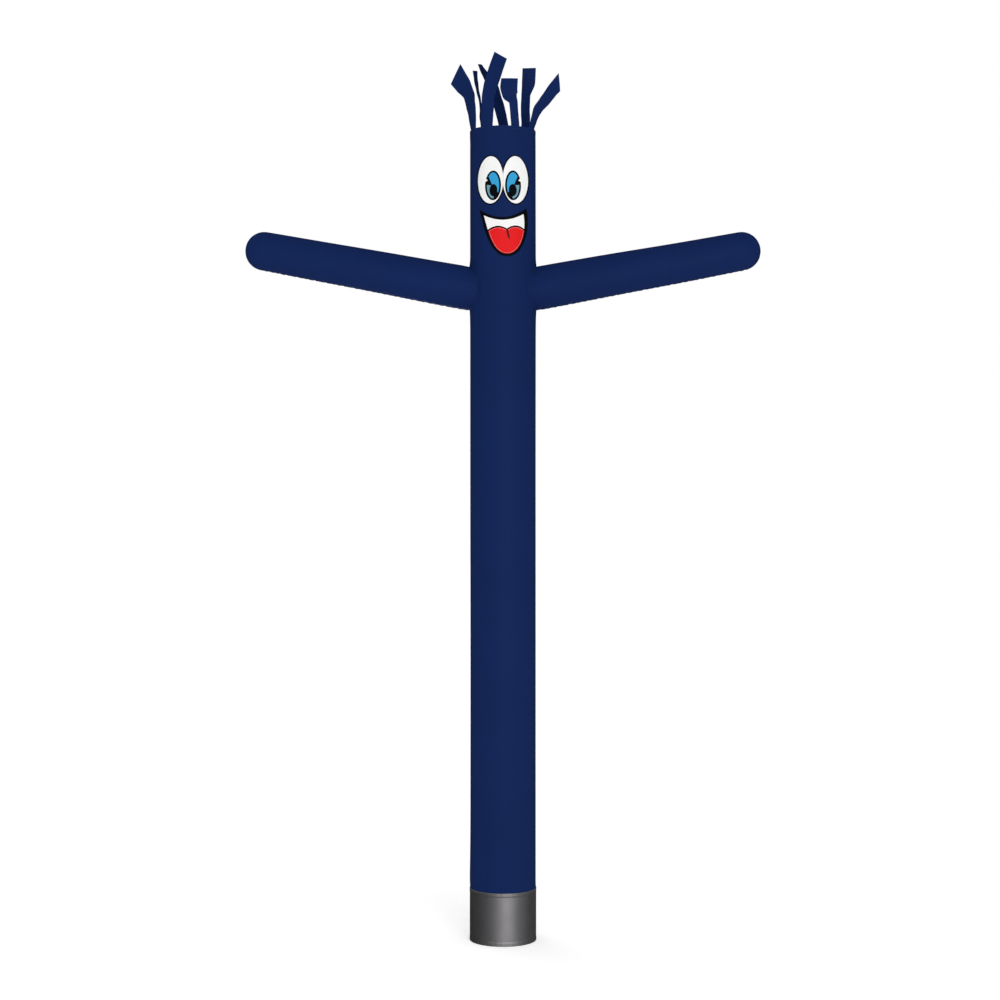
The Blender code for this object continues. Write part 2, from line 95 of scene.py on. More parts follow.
# Felled seams and their stitching
STRIP = (  # how far the strip's columns lie to the side of the seam, and how far out from the cloth
    (-0.0065, 0.0002), (-0.0058, 0.0010), (-0.002, 0.0011),
    (0.002, 0.0011), (0.0058, 0.0010), (0.0065, 0.0002),
)
STRIP_THICKNESS = 0.0004
SEAM_ROWS = (-0.004, 0.004)  # the rows of stitches on the strip, to the side of the seam
SEAM_STITCH_LIFT = 0.0012  # from the tube's or arm's cloth to the stitches on the strip
STITCH_LIFT = 0.0002  # from the cloth to the stitches that lie on it
ZIGZAG_SLANT = 0.55


def length_property(name, description, default):
    return FloatProperty(name=name, description=description, default=default, unit="LENGTH")


class DancerCloth(bpy.types.PropertyGroup):
    """The sizes of the cloth and its thread."""

    nylon: length_property("Nylon", "Thickness of the tube's, arms' and hair's cloth", 0.0010)
    coated: length_property("Coated Cloth", "Thickness of the collar's cloth", 0.0025)
    patch: length_property("Patch", "Thickness of the face's laid-on cloth", 0.0008)
    grid_pitch: length_property("Ripstop Grid", "Distance between the nylon's heavier threads", 0.005)
    thread_pitch: length_property("Weave", "Distance between two threads of the cloth", 0.0006)
    stitch: length_property("Stitch", "Length of one straight stitch", 0.0042)
    stitch_gap: length_property("Stitch Gap", "Space between two straight stitches", 0.0014)
    thread_width: length_property("Thread", "Width of the thread", 0.0011)


class DancerCreases(bpy.types.PropertyGroup):
    """How deep the cloth's creases are."""

    flutes: length_property("Flutes", "Depth of the flutes above the collar", 0.0028)
    puckers: length_property("Seam Puckers", "Depth of the small folds at the seams", 0.0034)
    waves: length_property("Soft Waves", "Depth of the long waves in the tube", 0.0014)
    rim: length_property("Rim", "How far the open rim sways in and out", 0.0020)
    flutter: length_property("Flutter", "Depth of the ripples in the hair", 0.0018)


def colour_property(name, description, default):
    return FloatVectorProperty(
        name=name, description=description, default=default, size=3, min=0.0, max=1.0, subtype="COLOR"
    )


class DancerColours(bpy.types.PropertyGroup):
    """The colours of the cloth."""

    navy: colour_property("Navy", "Tube, arms and hair", (0.0059, 0.0180, 0.0860))
    collar: colour_property("Collar", "Coated cloth of the collar", (0.300, 0.292, 0.304))
    black: colour_property("Black", "Outlines and pupils", (0.0030, 0.0034, 0.0048))
    white: colour_property("White", "Eyes and teeth", (0.923, 0.920, 0.914))
    blue: colour_property("Blue", "Bright part of the irises", (0.030, 0.345, 0.660))
    grey_blue: colour_property("Grey Blue", "Shaded part of the irises", (0.150, 0.330, 0.440))
    red: colour_property("Red", "Tongue", (0.775, 0.0085, 0.0105))
    dark_red: colour_property("Dark Red", "Line on the tongue", (0.090, 0.004, 0.006))
    blue_thread: colour_property("Blue Thread", "Stitching of the nylon", (0.0200, 0.0480, 0.1700))
    # Serging of the collar's top edge; its light grey is a painted highlight along that edge.
    grey_thread: colour_property("Grey Thread", "Serging of the collar's edge", (0.160, 0.158, 0.172))
    dark_thread: colour_property("Dark Thread", "Stitching of the collar's hems", (0.085, 0.083, 0.088))
    pink_thread: colour_property("Pink Thread", "Stitching of the tongue", (0.860, 0.360, 0.360))


def cloth():
    return bpy.context.scene.dancer_cloth


def creases():
    return bpy.context.scene.dancer_creases


def colours():
    return bpy.context.scene.dancer_colours


# Materials


def feed(tree, socket, value):
    """Puts a number into a socket, or joins another node's output to it."""
    if isinstance(value, bpy.types.NodeSocket):
        tree.links.new(value, socket)
    else:
        socket.default_value = value


def feed_all(tree, node, values):
    """Feeds a node's inputs, {name: number or output}, and gives back its outputs."""
    for label, value in values.items():
        feed(tree, node.inputs[label], value)
    return node.outputs


def new_node(tree, kind, values):
    return feed_all(tree, tree.nodes.new(kind), values)


def sum_node(tree, operation, first, second=None, third=None, clamp=False):
    """The output of a Math node."""
    node = tree.nodes.new("ShaderNodeMath")
    node.operation, node.use_clamp = operation, clamp
    for socket, value in zip(node.inputs, (first, second, third)):
        if value is not None:
            feed(tree, socket, value)
    return node.outputs[0]


def placed_group(tree, name, fill, values):
    """The outputs of a node group, which is built once, placed here with its own values.

    Its inputs have the values' names. A function fills it, and gives back what it puts out, by name.
    """
    group = bpy.data.node_groups.get(name)
    if not group:
        group = bpy.data.node_groups.new(name, "ShaderNodeTree")
        for label in values:
            kind = "NodeSocketVector" if label == "Vector" else "NodeSocketFloat"
            group.interface.new_socket(label, in_out="INPUT", socket_type=kind)
        made = fill(group, group.nodes.new("NodeGroupInput").outputs)
        for label in made:
            group.interface.new_socket(label, in_out="OUTPUT", socket_type="NodeSocketFloat")
        new_node(group, "NodeGroupOutput", made)
    node = tree.nodes.new("ShaderNodeGroup")
    node.node_tree = group
    return feed_all(tree, node, values)


def both_ways(tree, given):
    """The X and the Y of the place that a group is given."""
    split = new_node(tree, "ShaderNodeSeparateXYZ", {"Vector": given["Vector"]})
    return split["X"], split["Y"]


def fill_weave(tree, given):
    """Plain weave: the height of threads that go over and under, in a pattern of metres."""
    ridges = []
    for place in both_ways(tree, given):
        turns = sum_node(tree, "DIVIDE", place, given["Pitch"])
        ridges.append(sum_node(tree, "SINE", sum_node(tree, "MULTIPLY", turns, math.pi)))
    return {"Height": sum_node(tree, "MULTIPLY_ADD", sum_node(tree, "MULTIPLY", *ridges), 0.5, 0.5)}


def fill_grid(tree, given):
    """Ripstop: lines of heavier thread both ways, in a pattern of metres."""
    half = sum_node(tree, "MULTIPLY", given["Pitch"], 0.5)
    lines = []
    for place in both_ways(tree, given):
        near = sum_node(tree, "DIVIDE", sum_node(tree, "PINGPONG", place, half), given["Line Width"])
        lines.append(sum_node(tree, "SUBTRACT", 1.0, near, clamp=True))
    return {"Mask": sum_node(tree, "MAXIMUM", *lines)}


def fill_handling(tree, given):
    """Handled cloth: broad uneven tone, and fine crumple, from a place in metres."""
    scale = sum_node(tree, "DIVIDE", 1.0, given["Patch Size"])
    finer = sum_node(tree, "MULTIPLY", scale, CRUMPLE_FINENESS)
    broad = {"Vector": given["Vector"], "Scale": scale, "Detail": 3.0}
    fine = {"Vector": given["Vector"], "Scale": finer, "Detail": 4.0, "Roughness": 0.55}
    swing = sum_node(tree, "SUBTRACT", new_node(tree, "ShaderNodeTexNoise", broad)["Fac"], 0.5)
    return {
        "Tone": sum_node(tree, "MULTIPLY_ADD", swing, given["Strength"], 1.0),
        "Crumple": new_node(tree, "ShaderNodeTexNoise", fine)["Fac"],
    }


class ClothFinish(NamedTuple):
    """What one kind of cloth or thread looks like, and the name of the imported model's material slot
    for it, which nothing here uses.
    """

    slot: str
    roughness: float
    gloss: float  # specular level
    tone: float  # how uneven its colour is
    crumple_depth: float = 0.0
    weave_depth: float = 0.00010
    grid: float = 0.0  # how much the ripstop's lines show
    metallic: float = 0.0


FINISHES = {
    "navy": ClothFinish("navy_nylon", 0.58, 0.018, 0.22, 0.0016, 0.00012, grid=0.42),
    "collar": ClothFinish("coated_cloth", 0.60, 0.50, 0.14, 0.0010, 0.00018, metallic=0.96),
    "black": ClothFinish("black_patch", 0.70, 0.03, 0.10, 0.0003),
    "white": ClothFinish("white_patch", 0.75, 0.20, 0.03, 0.0003),
    "blue": ClothFinish("blue_patch", 0.70, 0.15, 0.05, 0.0003),
    "grey_blue": ClothFinish("grey_blue_patch", 0.70, 0.15, 0.05, 0.0003),
    "red": ClothFinish("red_patch", 0.70, 0.12, 0.06, 0.0003),
    "dark_red": ClothFinish("dark_red_patch", 0.70, 0.12, 0.06, 0.0003),
    "blue_thread": ClothFinish("navy_nylon", 0.55, 0.10, 0.20),
    # Pale serging whose light grey is a painted highlight on the collar's top edge
    "grey_thread": ClothFinish("coated_cloth", 0.60, 0.20, 0.20),
    "dark_thread": ClothFinish("coated_cloth", 0.60, 0.15, 0.20),
    "pink_thread": ClothFinish("red_patch", 0.60, 0.12, 0.20),
}
TONE_SIZE = 0.6  # of the broad patches of uneven tone
CRUMPLE_FINENESS = 9.0  # how many times finer the crumple is
ROUGHNESS_SWING = 0.12
PAINTED_WEAVE_SHADE = 0.10  # how much darker the weave's hollows are painted: painted shade between its threads
GRID_LINE = 0.0005  # width of the ripstop's heavier threads
GRID_RIDGE = 0.00010  # how far they stand out


def new_material(name):
    """A new material, and its shader."""
    made = bpy.data.materials.new(name)
    made.use_nodes = True
    return made, made.node_tree.nodes["Principled BSDF"]


def cloth_material(colour_name):
    """Woven cloth of one colour, its pattern laid out in metres by the piece's UV map."""
    name = f"cloth_{colour_name}"
    if name in bpy.data.materials:
        return bpy.data.materials[name]
    finish = FINISHES[colour_name]
    made, shader = new_material(name)
    tree = made.node_tree
    uv = tree.nodes.new("ShaderNodeUVMap").outputs["UV"]
    place = tree.nodes.new("ShaderNodeTexCoord").outputs["Object"]

    threads = {"Vector": uv, "Pitch": cloth().thread_pitch}
    weave = placed_group(tree, "Plain Weave", fill_weave, threads)["Height"]
    handling = {"Vector": place, "Patch Size": TONE_SIZE, "Strength": finish.tone}
    handled = placed_group(tree, "Handled Cloth", fill_handling, handling)

    # Painted shade: the weave's hollows are darker where its height is lower; the ripstop's lines are
    # then made lighter.
    weave_shade_and_grid = sum_node(tree, "MULTIPLY_ADD", weave, PAINTED_WEAVE_SHADE, 1 - PAINTED_WEAVE_SHADE / 2)
    height = sum_node(tree, "MULTIPLY", weave, finish.weave_depth)
    if finish.grid:
        ripstop = {"Vector": uv, "Pitch": cloth().grid_pitch, "Line Width": GRID_LINE}
        grid = placed_group(tree, "Ripstop Grid", fill_grid, ripstop)["Mask"]
        weave_shade_and_grid = sum_node(tree, "MULTIPLY_ADD", grid, finish.grid, weave_shade_and_grid)
        height = sum_node(tree, "MULTIPLY_ADD", grid, GRID_RIDGE, height)
    height = sum_node(tree, "MULTIPLY_ADD", handled["Crumple"], finish.crumple_depth, height)
    smoothest = finish.roughness - ROUGHNESS_SWING / 2

    tint = tree.nodes.new("ShaderNodeVectorMath")
    tint.operation = "SCALE"
    tone = sum_node(tree, "MULTIPLY", handled["Tone"], weave_shade_and_grid)
    feed_all(tree, tint, {"Vector": tuple(getattr(colours(), colour_name)), "Scale": tone})
    feed_all(tree, shader, {
        "Base Color": tint.outputs[0],
        "Metallic": finish.metallic,
        "Roughness": sum_node(tree, "MULTIPLY_ADD", handled["Crumple"], ROUGHNESS_SWING, smoothest),
        "Specular IOR Level": finish.gloss,
        "Normal": new_node(tree, "ShaderNodeBump", {"Distance": 1.0, "Height": height})[0],
    })
    return made


# Relief of the cloth


def ring_waves(turn, count, seed):
    """About count uneven waves round a ring, which meet where it closes. The turn is in radians."""
    drift = 0.9 * np.sin(2 * turn + seed) + 0.5 * np.sin(5 * turn + 2.3 * seed)
    size = 0.65 + 0.35 * np.sin(3 * turn + 1.3 * seed)
    return size * np.sin(count * turn + drift + 1.7 * seed)


def line_waves(place, pitch, seed):
    """Uneven waves along a line, about a pitch apart."""
    turn = math.tau * place / pitch
    return (
        0.55 * np.sin(turn + seed)
        + 0.30 * np.sin(0.61 * turn + 2.1 * seed)
        + 0.25 * np.sin(1.57 * turn + 0.7 * seed)
    )


def puckered(waves, place, near, far, away, reach):
    """Folds that a seam gathers: many small ones at the seam, fewer and softer away from it.

    The waves along the seam have the near pitch or count and seed at it, and the far ones beyond it.
    """
    mix = np.clip(away / (1.5 * reach), 0, 1)
    folds = waves(place, *near) * (1 - mix) + waves(place, *far) * mix
    return np.exp(-np.maximum(away, 0) / reach) * (folds - 0.35 * folds**2)


def armhole_place(angle, height):
    """How far a place on the tube is from the nearer arm's axis, and its turn round that axis."""
    aside = np.abs(TUBE_RADIUS * np.sin(angle)) - TUBE_RADIUS
    up = math.cos(ARM_SLOPE) * (height - ARM_HEIGHT) - math.sin(ARM_SLOPE) * aside
    back = -TUBE_RADIUS * np.cos(angle)
    return np.hypot(up, back), np.arctan2(back, up)


def tube_radius(angle, height):
    """The tube's outer radius at places on it: angle 0 is its front, and a quarter turn is +X."""
    depth = creases()
    above = np.maximum(height - COLLAR_HEIGHT, 0)
    lift = above / SWELL_PEAK
    share = lift * np.exp(1 - lift)
    flute = (0.7 + 0.3 * np.cos(3 * angle + 1.0)) * np.sin(FLUTES * angle + 0.9 * np.sin(2 * angle))
    radius = TUBE_RADIUS + share * (SWELL + depth.flutes * flute)

    # Gathers above the collar
    seam = puckered(ring_waves, angle, (37, 2.0), (17, 3.0), above, 0.045)
    radius += depth.puckers * np.clip(above / 0.012, 0, 1) * seam

    # The rim: gathers below its hem, a slow sway, and the hem itself
    below = RIM_HEIGHT - height
    hem = puckered(ring_waves, angle, (33, 5.0), (15, 6.0), below - HEM, 0.05)
    radius += 0.8 * depth.puckers * np.clip((below - HEM) / 0.01, 0, 1) * hem
    radius += depth.rim * ring_waves(angle, 7, 8.0) * np.exp(-below / 0.10)
    radius += HEM_EXTRA * np.clip((HEM - below) / 0.0008, 0, 1)

    # Long soft waves, which wander round the tube as they rise
    clear_of_collar = np.clip(above / 0.10, 0, 1)
    drift = np.sin(0.9 * height) + 0.6 * np.sin(2.1 * height + 1.0)
    waves = 0.5 * np.sin(7 * angle + 1.4 * height + drift) + 0.35 * np.sin(4 * angle - 1.1 * height)
    waves += 0.3 * np.sin(12 * angle + 0.5 * drift - 0.6 * height)
    radius += depth.waves * clear_of_collar * waves

    # Gathers at the back seam
    from_back = np.abs((angle % math.tau) - math.pi) * TUBE_RADIUS
    back = puckered(line_waves, height, (0.045, 4.0), (0.10, 1.0), from_back, 0.03)
    radius += 0.8 * depth.puckers * clear_of_collar * back

    # The armholes: a low rise, and gathers
    away, turn = armhole_place(angle, height)
    away = away - ARM_ROOT_RADIUS + ARM_DRAW_IN
    folds = puckered(ring_waves, turn, (23, 1.0), (11, 2.5), away, 0.04)
    radius += ARMHOLE_RISE * np.exp(-np.maximum(away, 0) / 0.045) + 1.3 * depth.puckers * folds
    return radius


def round_axis(angle, height, radius):
    """Points round the dancer's axis, as an array with X, Y and Z last."""
    across, deep = radius * np.sin(angle), -radius * np.cos(angle)
    return np.stack(np.broadcast_arrays(across, deep, height), axis=-1)


def on_tube(angle, height, out=0.0):
    """Points on the tube's cloth, or a little out from it."""
    return round_axis(angle, height, tube_radius(angle, height) + out)


# Making pieces of cloth


def finished(obj, colour_name, replaced=()):
    """Gives a piece its material, sets it riding on the dancer, and hides the solids it stands for."""
    obj.data.materials.clear()
    obj.data.materials.append(cloth_material(colour_name))
    obj.data.shade_smooth()
    obj.data.set_sharp_from_angle(angle=math.radians(50))
    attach(obj, "root")
    if replaced:
        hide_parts(*replaced)


def linked(name, data):
    """A new object in the scene, with this mesh, light or camera."""
    obj = bpy.data.objects.new(name, data)
    bpy.context.scene.collection.objects.link(obj)
    return obj


def give_uv(mesh, places):
    """Lays out a mesh's UV map in metres, with a place for each corner of its faces."""
    layer = mesh.uv_layers.new(name="cloth")
    layer.data.foreach_set("uv", places.astype(np.float32).ravel())


def grid_cloth(name, points, across, along):
    """One sheet over a grid of points in rows, with how far its columns are across and its rows along.

    A sheet with one more place across than it has columns is closed: its last column joins its first.
    """
    rows, columns = points.shape[:2]
    width = np.shape(across)[-1]
    row, column = (part.ravel() for part in np.mgrid[0 : rows - 1, 0 : width - 1])

    def corners(row_length, after):
        low, high = row * row_length, (row + 1) * row_length
        return np.stack((low + column, low + after, high + after, high + column), axis=1)

    mesh = bpy.data.meshes.new(name)
    mesh.from_pydata(points.reshape(-1, 3), [], corners(columns, (column + 1) % columns).tolist())
    uv = np.stack(np.broadcast_arrays(across, along[:, None]), axis=-1)
    give_uv(mesh, uv.reshape(-1, 2)[corners(width, column + 1).ravel()])
    return linked(name, mesh)


def give_thickness(obj, thickness, offset=-1.0):
    """Makes a sheet a closed piece of cloth: an offset of -1 keeps its outer side where it is."""
    solid = obj.modifiers.new("cloth", "SOLIDIFY")
    solid.thickness = thickness
    solid.offset = offset
    solid.use_even_offset = True
    with bpy.context.temp_override(object=obj, active_object=obj, selected_objects=[obj]):
        bpy.ops.object.modifier_apply(modifier=solid.name)


# Thread


def stitch_model():
    """One stitch, a metre long: a spindle of thread whose ends dip into the cloth."""
    made = bpy.data.meshes.get("stitch")
    if made:
        return made
    bpy.ops.object.select_all(action="DESELECT")
    bpy.ops.mesh.primitive_uv_sphere_add(
        segments=5, ring_count=4, radius=0.5, rotation=(0, math.pi / 2, 0)
    )
    obj = bpy.context.active_object
    bpy.ops.object.transform_apply(location=True, rotation=True, scale=True)
    bpy.ops.object.mode_set(mode="EDIT")
    bpy.ops.mesh.select_all(action="DESELECT")
    shape = bmesh.from_edit_mesh(obj.data)
    for vert in shape.verts:
        vert.select_set(abs(vert.co.x) > 0.45)
    shape.select_flush(True)
    bmesh.update_edit_mesh(obj.data)
    bpy.ops.transform.translate(value=(0, 0, -0.35))
    bpy.ops.object.mode_set(mode="OBJECT")
    mesh = obj.data
    bpy.data.objects.remove(obj)
    mesh.name = "stitch"
    mesh.use_fake_user = True
    return mesh


def unit(vectors):
    """Vectors in rows, each made one long."""
    return vectors / np.maximum(np.linalg.norm(vectors, axis=1, keepdims=True), 1e-9)


def squared(vectors, others):
    """Vectors in rows, turned just as far as it takes to stand square to the others."""
    return unit(vectors - others * np.sum(vectors * others, axis=1, keepdims=True))


def run_along(points):
    """How far along a line each of its points is."""
    return np.concatenate(([0.0], np.cumsum(np.linalg.norm(np.diff(points, axis=0), axis=1))))


def resampled(points, pitch, closed=False):
    """Points at an even pitch along a line, and the line's direction at each."""
    if closed:
        points = np.concatenate((points, points[:1]))
    run = run_along(points)
    count = max(int(round(run[-1] / pitch)), 2)
    at = (np.arange(count) + 0.5) * run[-1] / count

    def read(places):
        return np.stack([np.interp(places, run, column) for column in points.T], axis=1)

    return read(at), unit(read(at + pitch / 3) - read(at - pitch / 3))


def outward_from_axis(points):
    """The direction straight out of the tube at each point."""
    return unit(points * (1.0, 1.0, 0.0))


def straight_stitches(points, normals_of=outward_from_axis, closed=False):
    """The places, headings, normals and length of the straight stitches in a row along a line."""
    spots, heading = resampled(points, cloth().stitch + cloth().stitch_gap, closed)
    return spots, heading, normals_of(spots), cloth().stitch


def zigzag_stitches(points, wide, pitch, normals_of=outward_from_axis):
    """The same for a zigzag along a closed edge."""
    spots, heading = resampled(points, pitch, closed=True)
    normals = normals_of(spots)
    sign = np.where(np.arange(len(spots)) % 2 == 0, 1.0, -1.0)[:, None]
    return spots, unit(np.cross(normals, heading) + sign * ZIGZAG_SLANT * heading), normals, wide


def sew(name, rows, colour_name, width=None):
    """One piece of thread from rows of stitches, each a copy of the same stitch."""
    model = stitch_model()
    base = np.empty(len(model.vertices) * 3)
    model.vertices.foreach_get("co", base)
    base = base.reshape(-1, 3)
    width = width or cloth().thread_width
    verts = []
    for spots, heading, normals, length in rows:
        normals = squared(normals, heading)
        axes = np.stack((heading, np.cross(normals, heading), normals), axis=1)
        verts.append((spots[:, None] + base * (length, width, width) @ axes).reshape(-1, 3))
    verts = np.concatenate(verts)
    faces = [tuple(face.vertices) for face in model.polygons]
    starts = range(0, len(verts), len(base))
    polygons = [[start + corner for corner in face] for start in starts for face in faces]
    mesh = bpy.data.meshes.new(name)
    mesh.from_pydata(verts, [], polygons)
    corners = np.empty(len(mesh.loops), np.int32)
    mesh.loops.foreach_get("vertex_index", corners)
    give_uv(mesh, verts[corners][:, [0, 2]])
    finished(linked(name, mesh), colour_name)


# The collar


def collar_points(angle, height, out=0.0):
    """Points on the collar's outer side, with the turned hems at its two edges."""
    from_edge = np.minimum(height, COLLAR_HEIGHT - height)
    hem = np.clip((HEM + HEM_STEP - from_edge) / 0.0015, 0, 1)
    fold = np.clip(1 - from_edge / 0.0012, 0, 1) ** 2
    sway = 0.0006 * ring_waves(angle, 9, 4.0) * np.sin(math.pi * height / COLLAR_HEIGHT)
    gather = puckered(ring_waves, angle, (41, 1.0), (19, 2.0), from_edge - HEM, 0.02)
    radius = COLLAR_RADIUS + HEM_EXTRA * hem - 0.0008 * fold + sway + 0.0005 * gather + out
    return round_axis(angle, height, radius)


def full_turn(columns):
    return np.arange(columns) * math.tau / columns


def round_girth(columns, radius):
    """How far round a tube its columns are, and at the end its whole girth, where it closes."""
    return np.linspace(0, math.tau * radius, columns + 1)


# How far rows of the collar's cloth are from its edge: close together on the fold and at the hem's end
HEM_ROWS = (0, 0.0004, 0.0009, 0.0016, 0.006, 0.012, 0.018, 0.0235, 0.0250, 0.0262, 0.032)
COLLAR_ROWS = 26  # between the rows of its two hems
COLLAR_COLUMNS = 144


class DANCER_OT_collar(bpy.types.Operator):
    """Make the collar of coated cloth that goes round the blower's outlet"""

    bl_idname = "dancer.collar"
    bl_label = "Collar"

    def execute(self, context):
        middle = np.linspace(0.040, COLLAR_HEIGHT - 0.040, COLLAR_ROWS)
        heights = np.array([*HEM_ROWS, *middle, *(COLLAR_HEIGHT - row for row in reversed(HEM_ROWS))])
        points = collar_points(full_turn(COLLAR_COLUMNS), heights[:, None])
        band = grid_cloth("collar_band", points, round_girth(COLLAR_COLUMNS, COLLAR_RADIUS), heights)
        give_thickness(band, cloth().coated)
        finished(band, "collar", ["collar"])
        return {"FINISHED"}


# The tube

TUBE_COLUMNS = 120
TUBE_STRETCHES = (  # where each stretch of the tube's rows ends, and how far apart its rows are
    (COLLAR_HEIGHT, 0.010),
    (0.62, 0.0085),  # flutes
    (4.28, 0.020),
    (4.82, 0.0115),  # armholes
    (5.50, 0.020),
    (RIM_HEIGHT - HEM - HEM_STEP, 0.010),
    (RIM_HEIGHT - HEM, HEM_STEP),
    (RIM_HEIGHT, 0.006),
)


def tube_heights():
    """Heights of the tube's rows, closer together where the cloth is gathered."""
    heights = [TUBE_FOOT]
    for top, spacing in TUBE_STRETCHES:
        count = max(round((top - heights[-1]) / spacing), 1)
        heights += np.linspace(heights[-1], top, count + 1)[1:].tolist()
    return np.array(heights)


def armhole_edge(turn, reach):
    """The angle and height on the tube of places this far round and out from the right arm's axis."""
    back, up = reach * np.sin(turn), reach * np.cos(turn)
    angle = np.arccos(-back / TUBE_RADIUS)
    aside = TUBE_RADIUS * np.sin(angle) - TUBE_RADIUS
    return angle, ARM_HEIGHT + (up + math.sin(ARM_SLOPE) * aside) / math.cos(ARM_SLOPE)


def cut_armholes(tube):
    """Cuts the two armholes out of the tube's sheet, and brings their edges onto a clean curve."""
    shape = bmesh.new()
    shape.from_mesh(tube.data)

    def from_arm(point):
        return armhole_place(math.atan2(point.x, -point.y), point.z)

    inside = [face for face in shape.faces if from_arm(face.calc_center_median())[0] < ARMHOLE_RADIUS]
    bmesh.ops.delete(shape, geom=inside, context="FACES")
    for vert in shape.verts:
        if vert.is_boundary and abs(vert.co.z - ARM_HEIGHT) < 2 * ARMHOLE_RADIUS:
            angle, height = armhole_edge(from_arm(vert.co)[1], ARMHOLE_RADIUS)
            vert.co = Vector(on_tube(math.copysign(angle, vert.co.x), height))
    shape.to_mesh(tube.data)
    shape.free()


def seam_strip(name, lines, along):
    """The strip of a felled seam: a line for each of its columns, and how far along it its rows are."""
    across = [aside for aside, _ in STRIP]
    seam = grid_cloth(name, np.stack(lines, axis=1), across, along)
    give_thickness(seam, STRIP_THICKNESS)
    finished(seam, "navy")


def back_line(aside, lift, heights):
    """A line up the tube's back, to one side of its seam and out from the cloth."""
    return on_tube(math.pi + aside / TUBE_RADIUS, heights, lift)


class DANCER_OT_tube(bpy.types.Operator):
    """Make the tall sleeve, with its hemmed rim and its armholes"""

    bl_idname = "dancer.tube"
    bl_label = "Tube"

    def execute(self, context):
        heights = tube_heights()
        points = on_tube(full_turn(TUBE_COLUMNS), heights[:, None])
        tube = grid_cloth("tube_cloth", points, round_girth(TUBE_COLUMNS, TUBE_RADIUS), heights)
        cut_armholes(tube)
        give_thickness(tube, cloth().nylon)
        finished(tube, "navy", ["body_tube"])

        seam_heights = np.linspace(COLLAR_HEIGHT + 0.002, RIM_HEIGHT - 0.001, 700)
        strip = [back_line(aside, lift, seam_heights) for aside, lift in STRIP]
        seam_strip("back_seam", strip, seam_heights)
        return {"FINISHED"}


# The arms


def arm_axis_radius(along):
    """The sleeve's outer radius, without its creases."""
    share = np.clip(along / ARM_LENGTH, 0, 1)
    taper = ARM_ROOT_RADIUS + share * (ARM_TIP_RADIUS - ARM_ROOT_RADIUS)
    return taper - ARM_DRAW_IN * np.exp(-np.maximum(along, 0) / ARM_DRAW_LENGTH)


def arm_points(side, along, out, angle):
    """Points of an arm: along its axis from the tube, and out from it at a turn from its top."""
    along, out, angle = (part[..., None] for part in np.broadcast_arrays(along, out, angle))
    radial = np.cos(angle) * ARM_UP + np.sin(angle) * (0.0, 1.0, 0.0)
    return (ARM_ROOT + along * ARM_AXIS + out * radial) * (side, 1.0, 1.0)


def root_shift(radius, angle, beyond):
    """How far along its axis an arm's ring has to lean to lie on the tube, or a little beyond it."""
    across = radius * np.sin(angle)
    side = np.sqrt((TUBE_RADIUS + beyond) ** 2 - across**2) - TUBE_RADIUS
    return (side + radius * np.cos(angle) * math.sin(ARM_SLOPE)) / math.cos(ARM_SLOPE)


def arm_grid(side, columns=96, spacing=0.0125):
    """The rows of an arm's sheet, from inside the armhole to the tip, with how far each is along it."""
    turn = full_turn(columns)
    seed = 1.0 if side > 0 else 4.0

    def soft(along):
        return 0.0008 * np.sin(3 * turn + 4 * along + seed) + 0.0006 * np.sin(5 * turn - 7 * along)

    rows, alongs = [], []
    for along in [-SEAM_ALLOWANCE, *np.linspace(0, ARM_LENGTH, int(ARM_LENGTH / spacing))]:
        radius = arm_axis_radius(along)
        outside = max(along, 0)
        at_root = puckered(ring_waves, turn, (23, seed), (11, seed + 2), outside, 0.05)
        lean = max(1 - outside / 0.30, 0) * root_shift(radius, turn, ARM_ROOT_OUT)
        under = np.abs(turn - math.pi) * radius
        seam = puckered(line_waves, along, (0.04, seed), (0.09, seed + 1), under, 0.03)
        relief = creases().puckers * (1.2 * at_root * np.clip(along / 0.01, 0, 1) + 0.9 * seam)
        rows.append(arm_points(side, along + lean, radius + relief + soft(along), turn))
        alongs.append(along)
    for cap in np.linspace(0, math.pi / 2, 15)[1:-1]:
        along = ARM_LENGTH + ARM_TIP_RADIUS * math.sin(cap)
        ring = math.cos(cap) * (ARM_TIP_RADIUS + soft(ARM_LENGTH))
        rows.append(arm_points(side, along, ring, turn))
        alongs.append(ARM_LENGTH + ARM_TIP_RADIUS * cap)
    return np.array(rows), np.array(alongs)


def close_tip(obj, side):
    """Joins the last ring of an arm in one point."""
    shape = bmesh.new()
    shape.from_mesh(obj.data)
    tip = arm_points(side, ARM_LENGTH + ARM_TIP_RADIUS, 0.0, 0.0)
    ring = [e for e in shape.edges if e.is_boundary and (e.verts[0].co - Vector(tip)).length < 0.08]
    bmesh.ops.poke(shape, faces=bmesh.ops.edgenet_fill(shape, edges=ring)["faces"])
    bmesh.ops.recalc_face_normals(shape, faces=shape.faces)
    shape.to_mesh(obj.data)
    shape.free()


def arm_outward(side):
    """A function that gives the direction straight out of an arm at points on it."""
    root, axis = ARM_ROOT * (side, 1.0, 1.0), ARM_AXIS * (side, 1.0, 1.0)

    def outward(points):
        along = np.minimum((points - root) @ axis, ARM_LENGTH)
        return unit(points - root - along[:, None] * axis)

    return outward


def beside_underside(points, aside):
    """A line along an arm's underside, this far to one side of its seam."""
    middle = points.shape[1] // 2
    gap = np.linalg.norm(points[:, middle + 1] - points[:, middle], axis=1, keepdims=True)
    neighbour = points[:, middle + (1 if aside > 0 else -1)]
    return points[:, middle] + (neighbour - points[:, middle]) * np.minimum(abs(aside) / gap, 1)


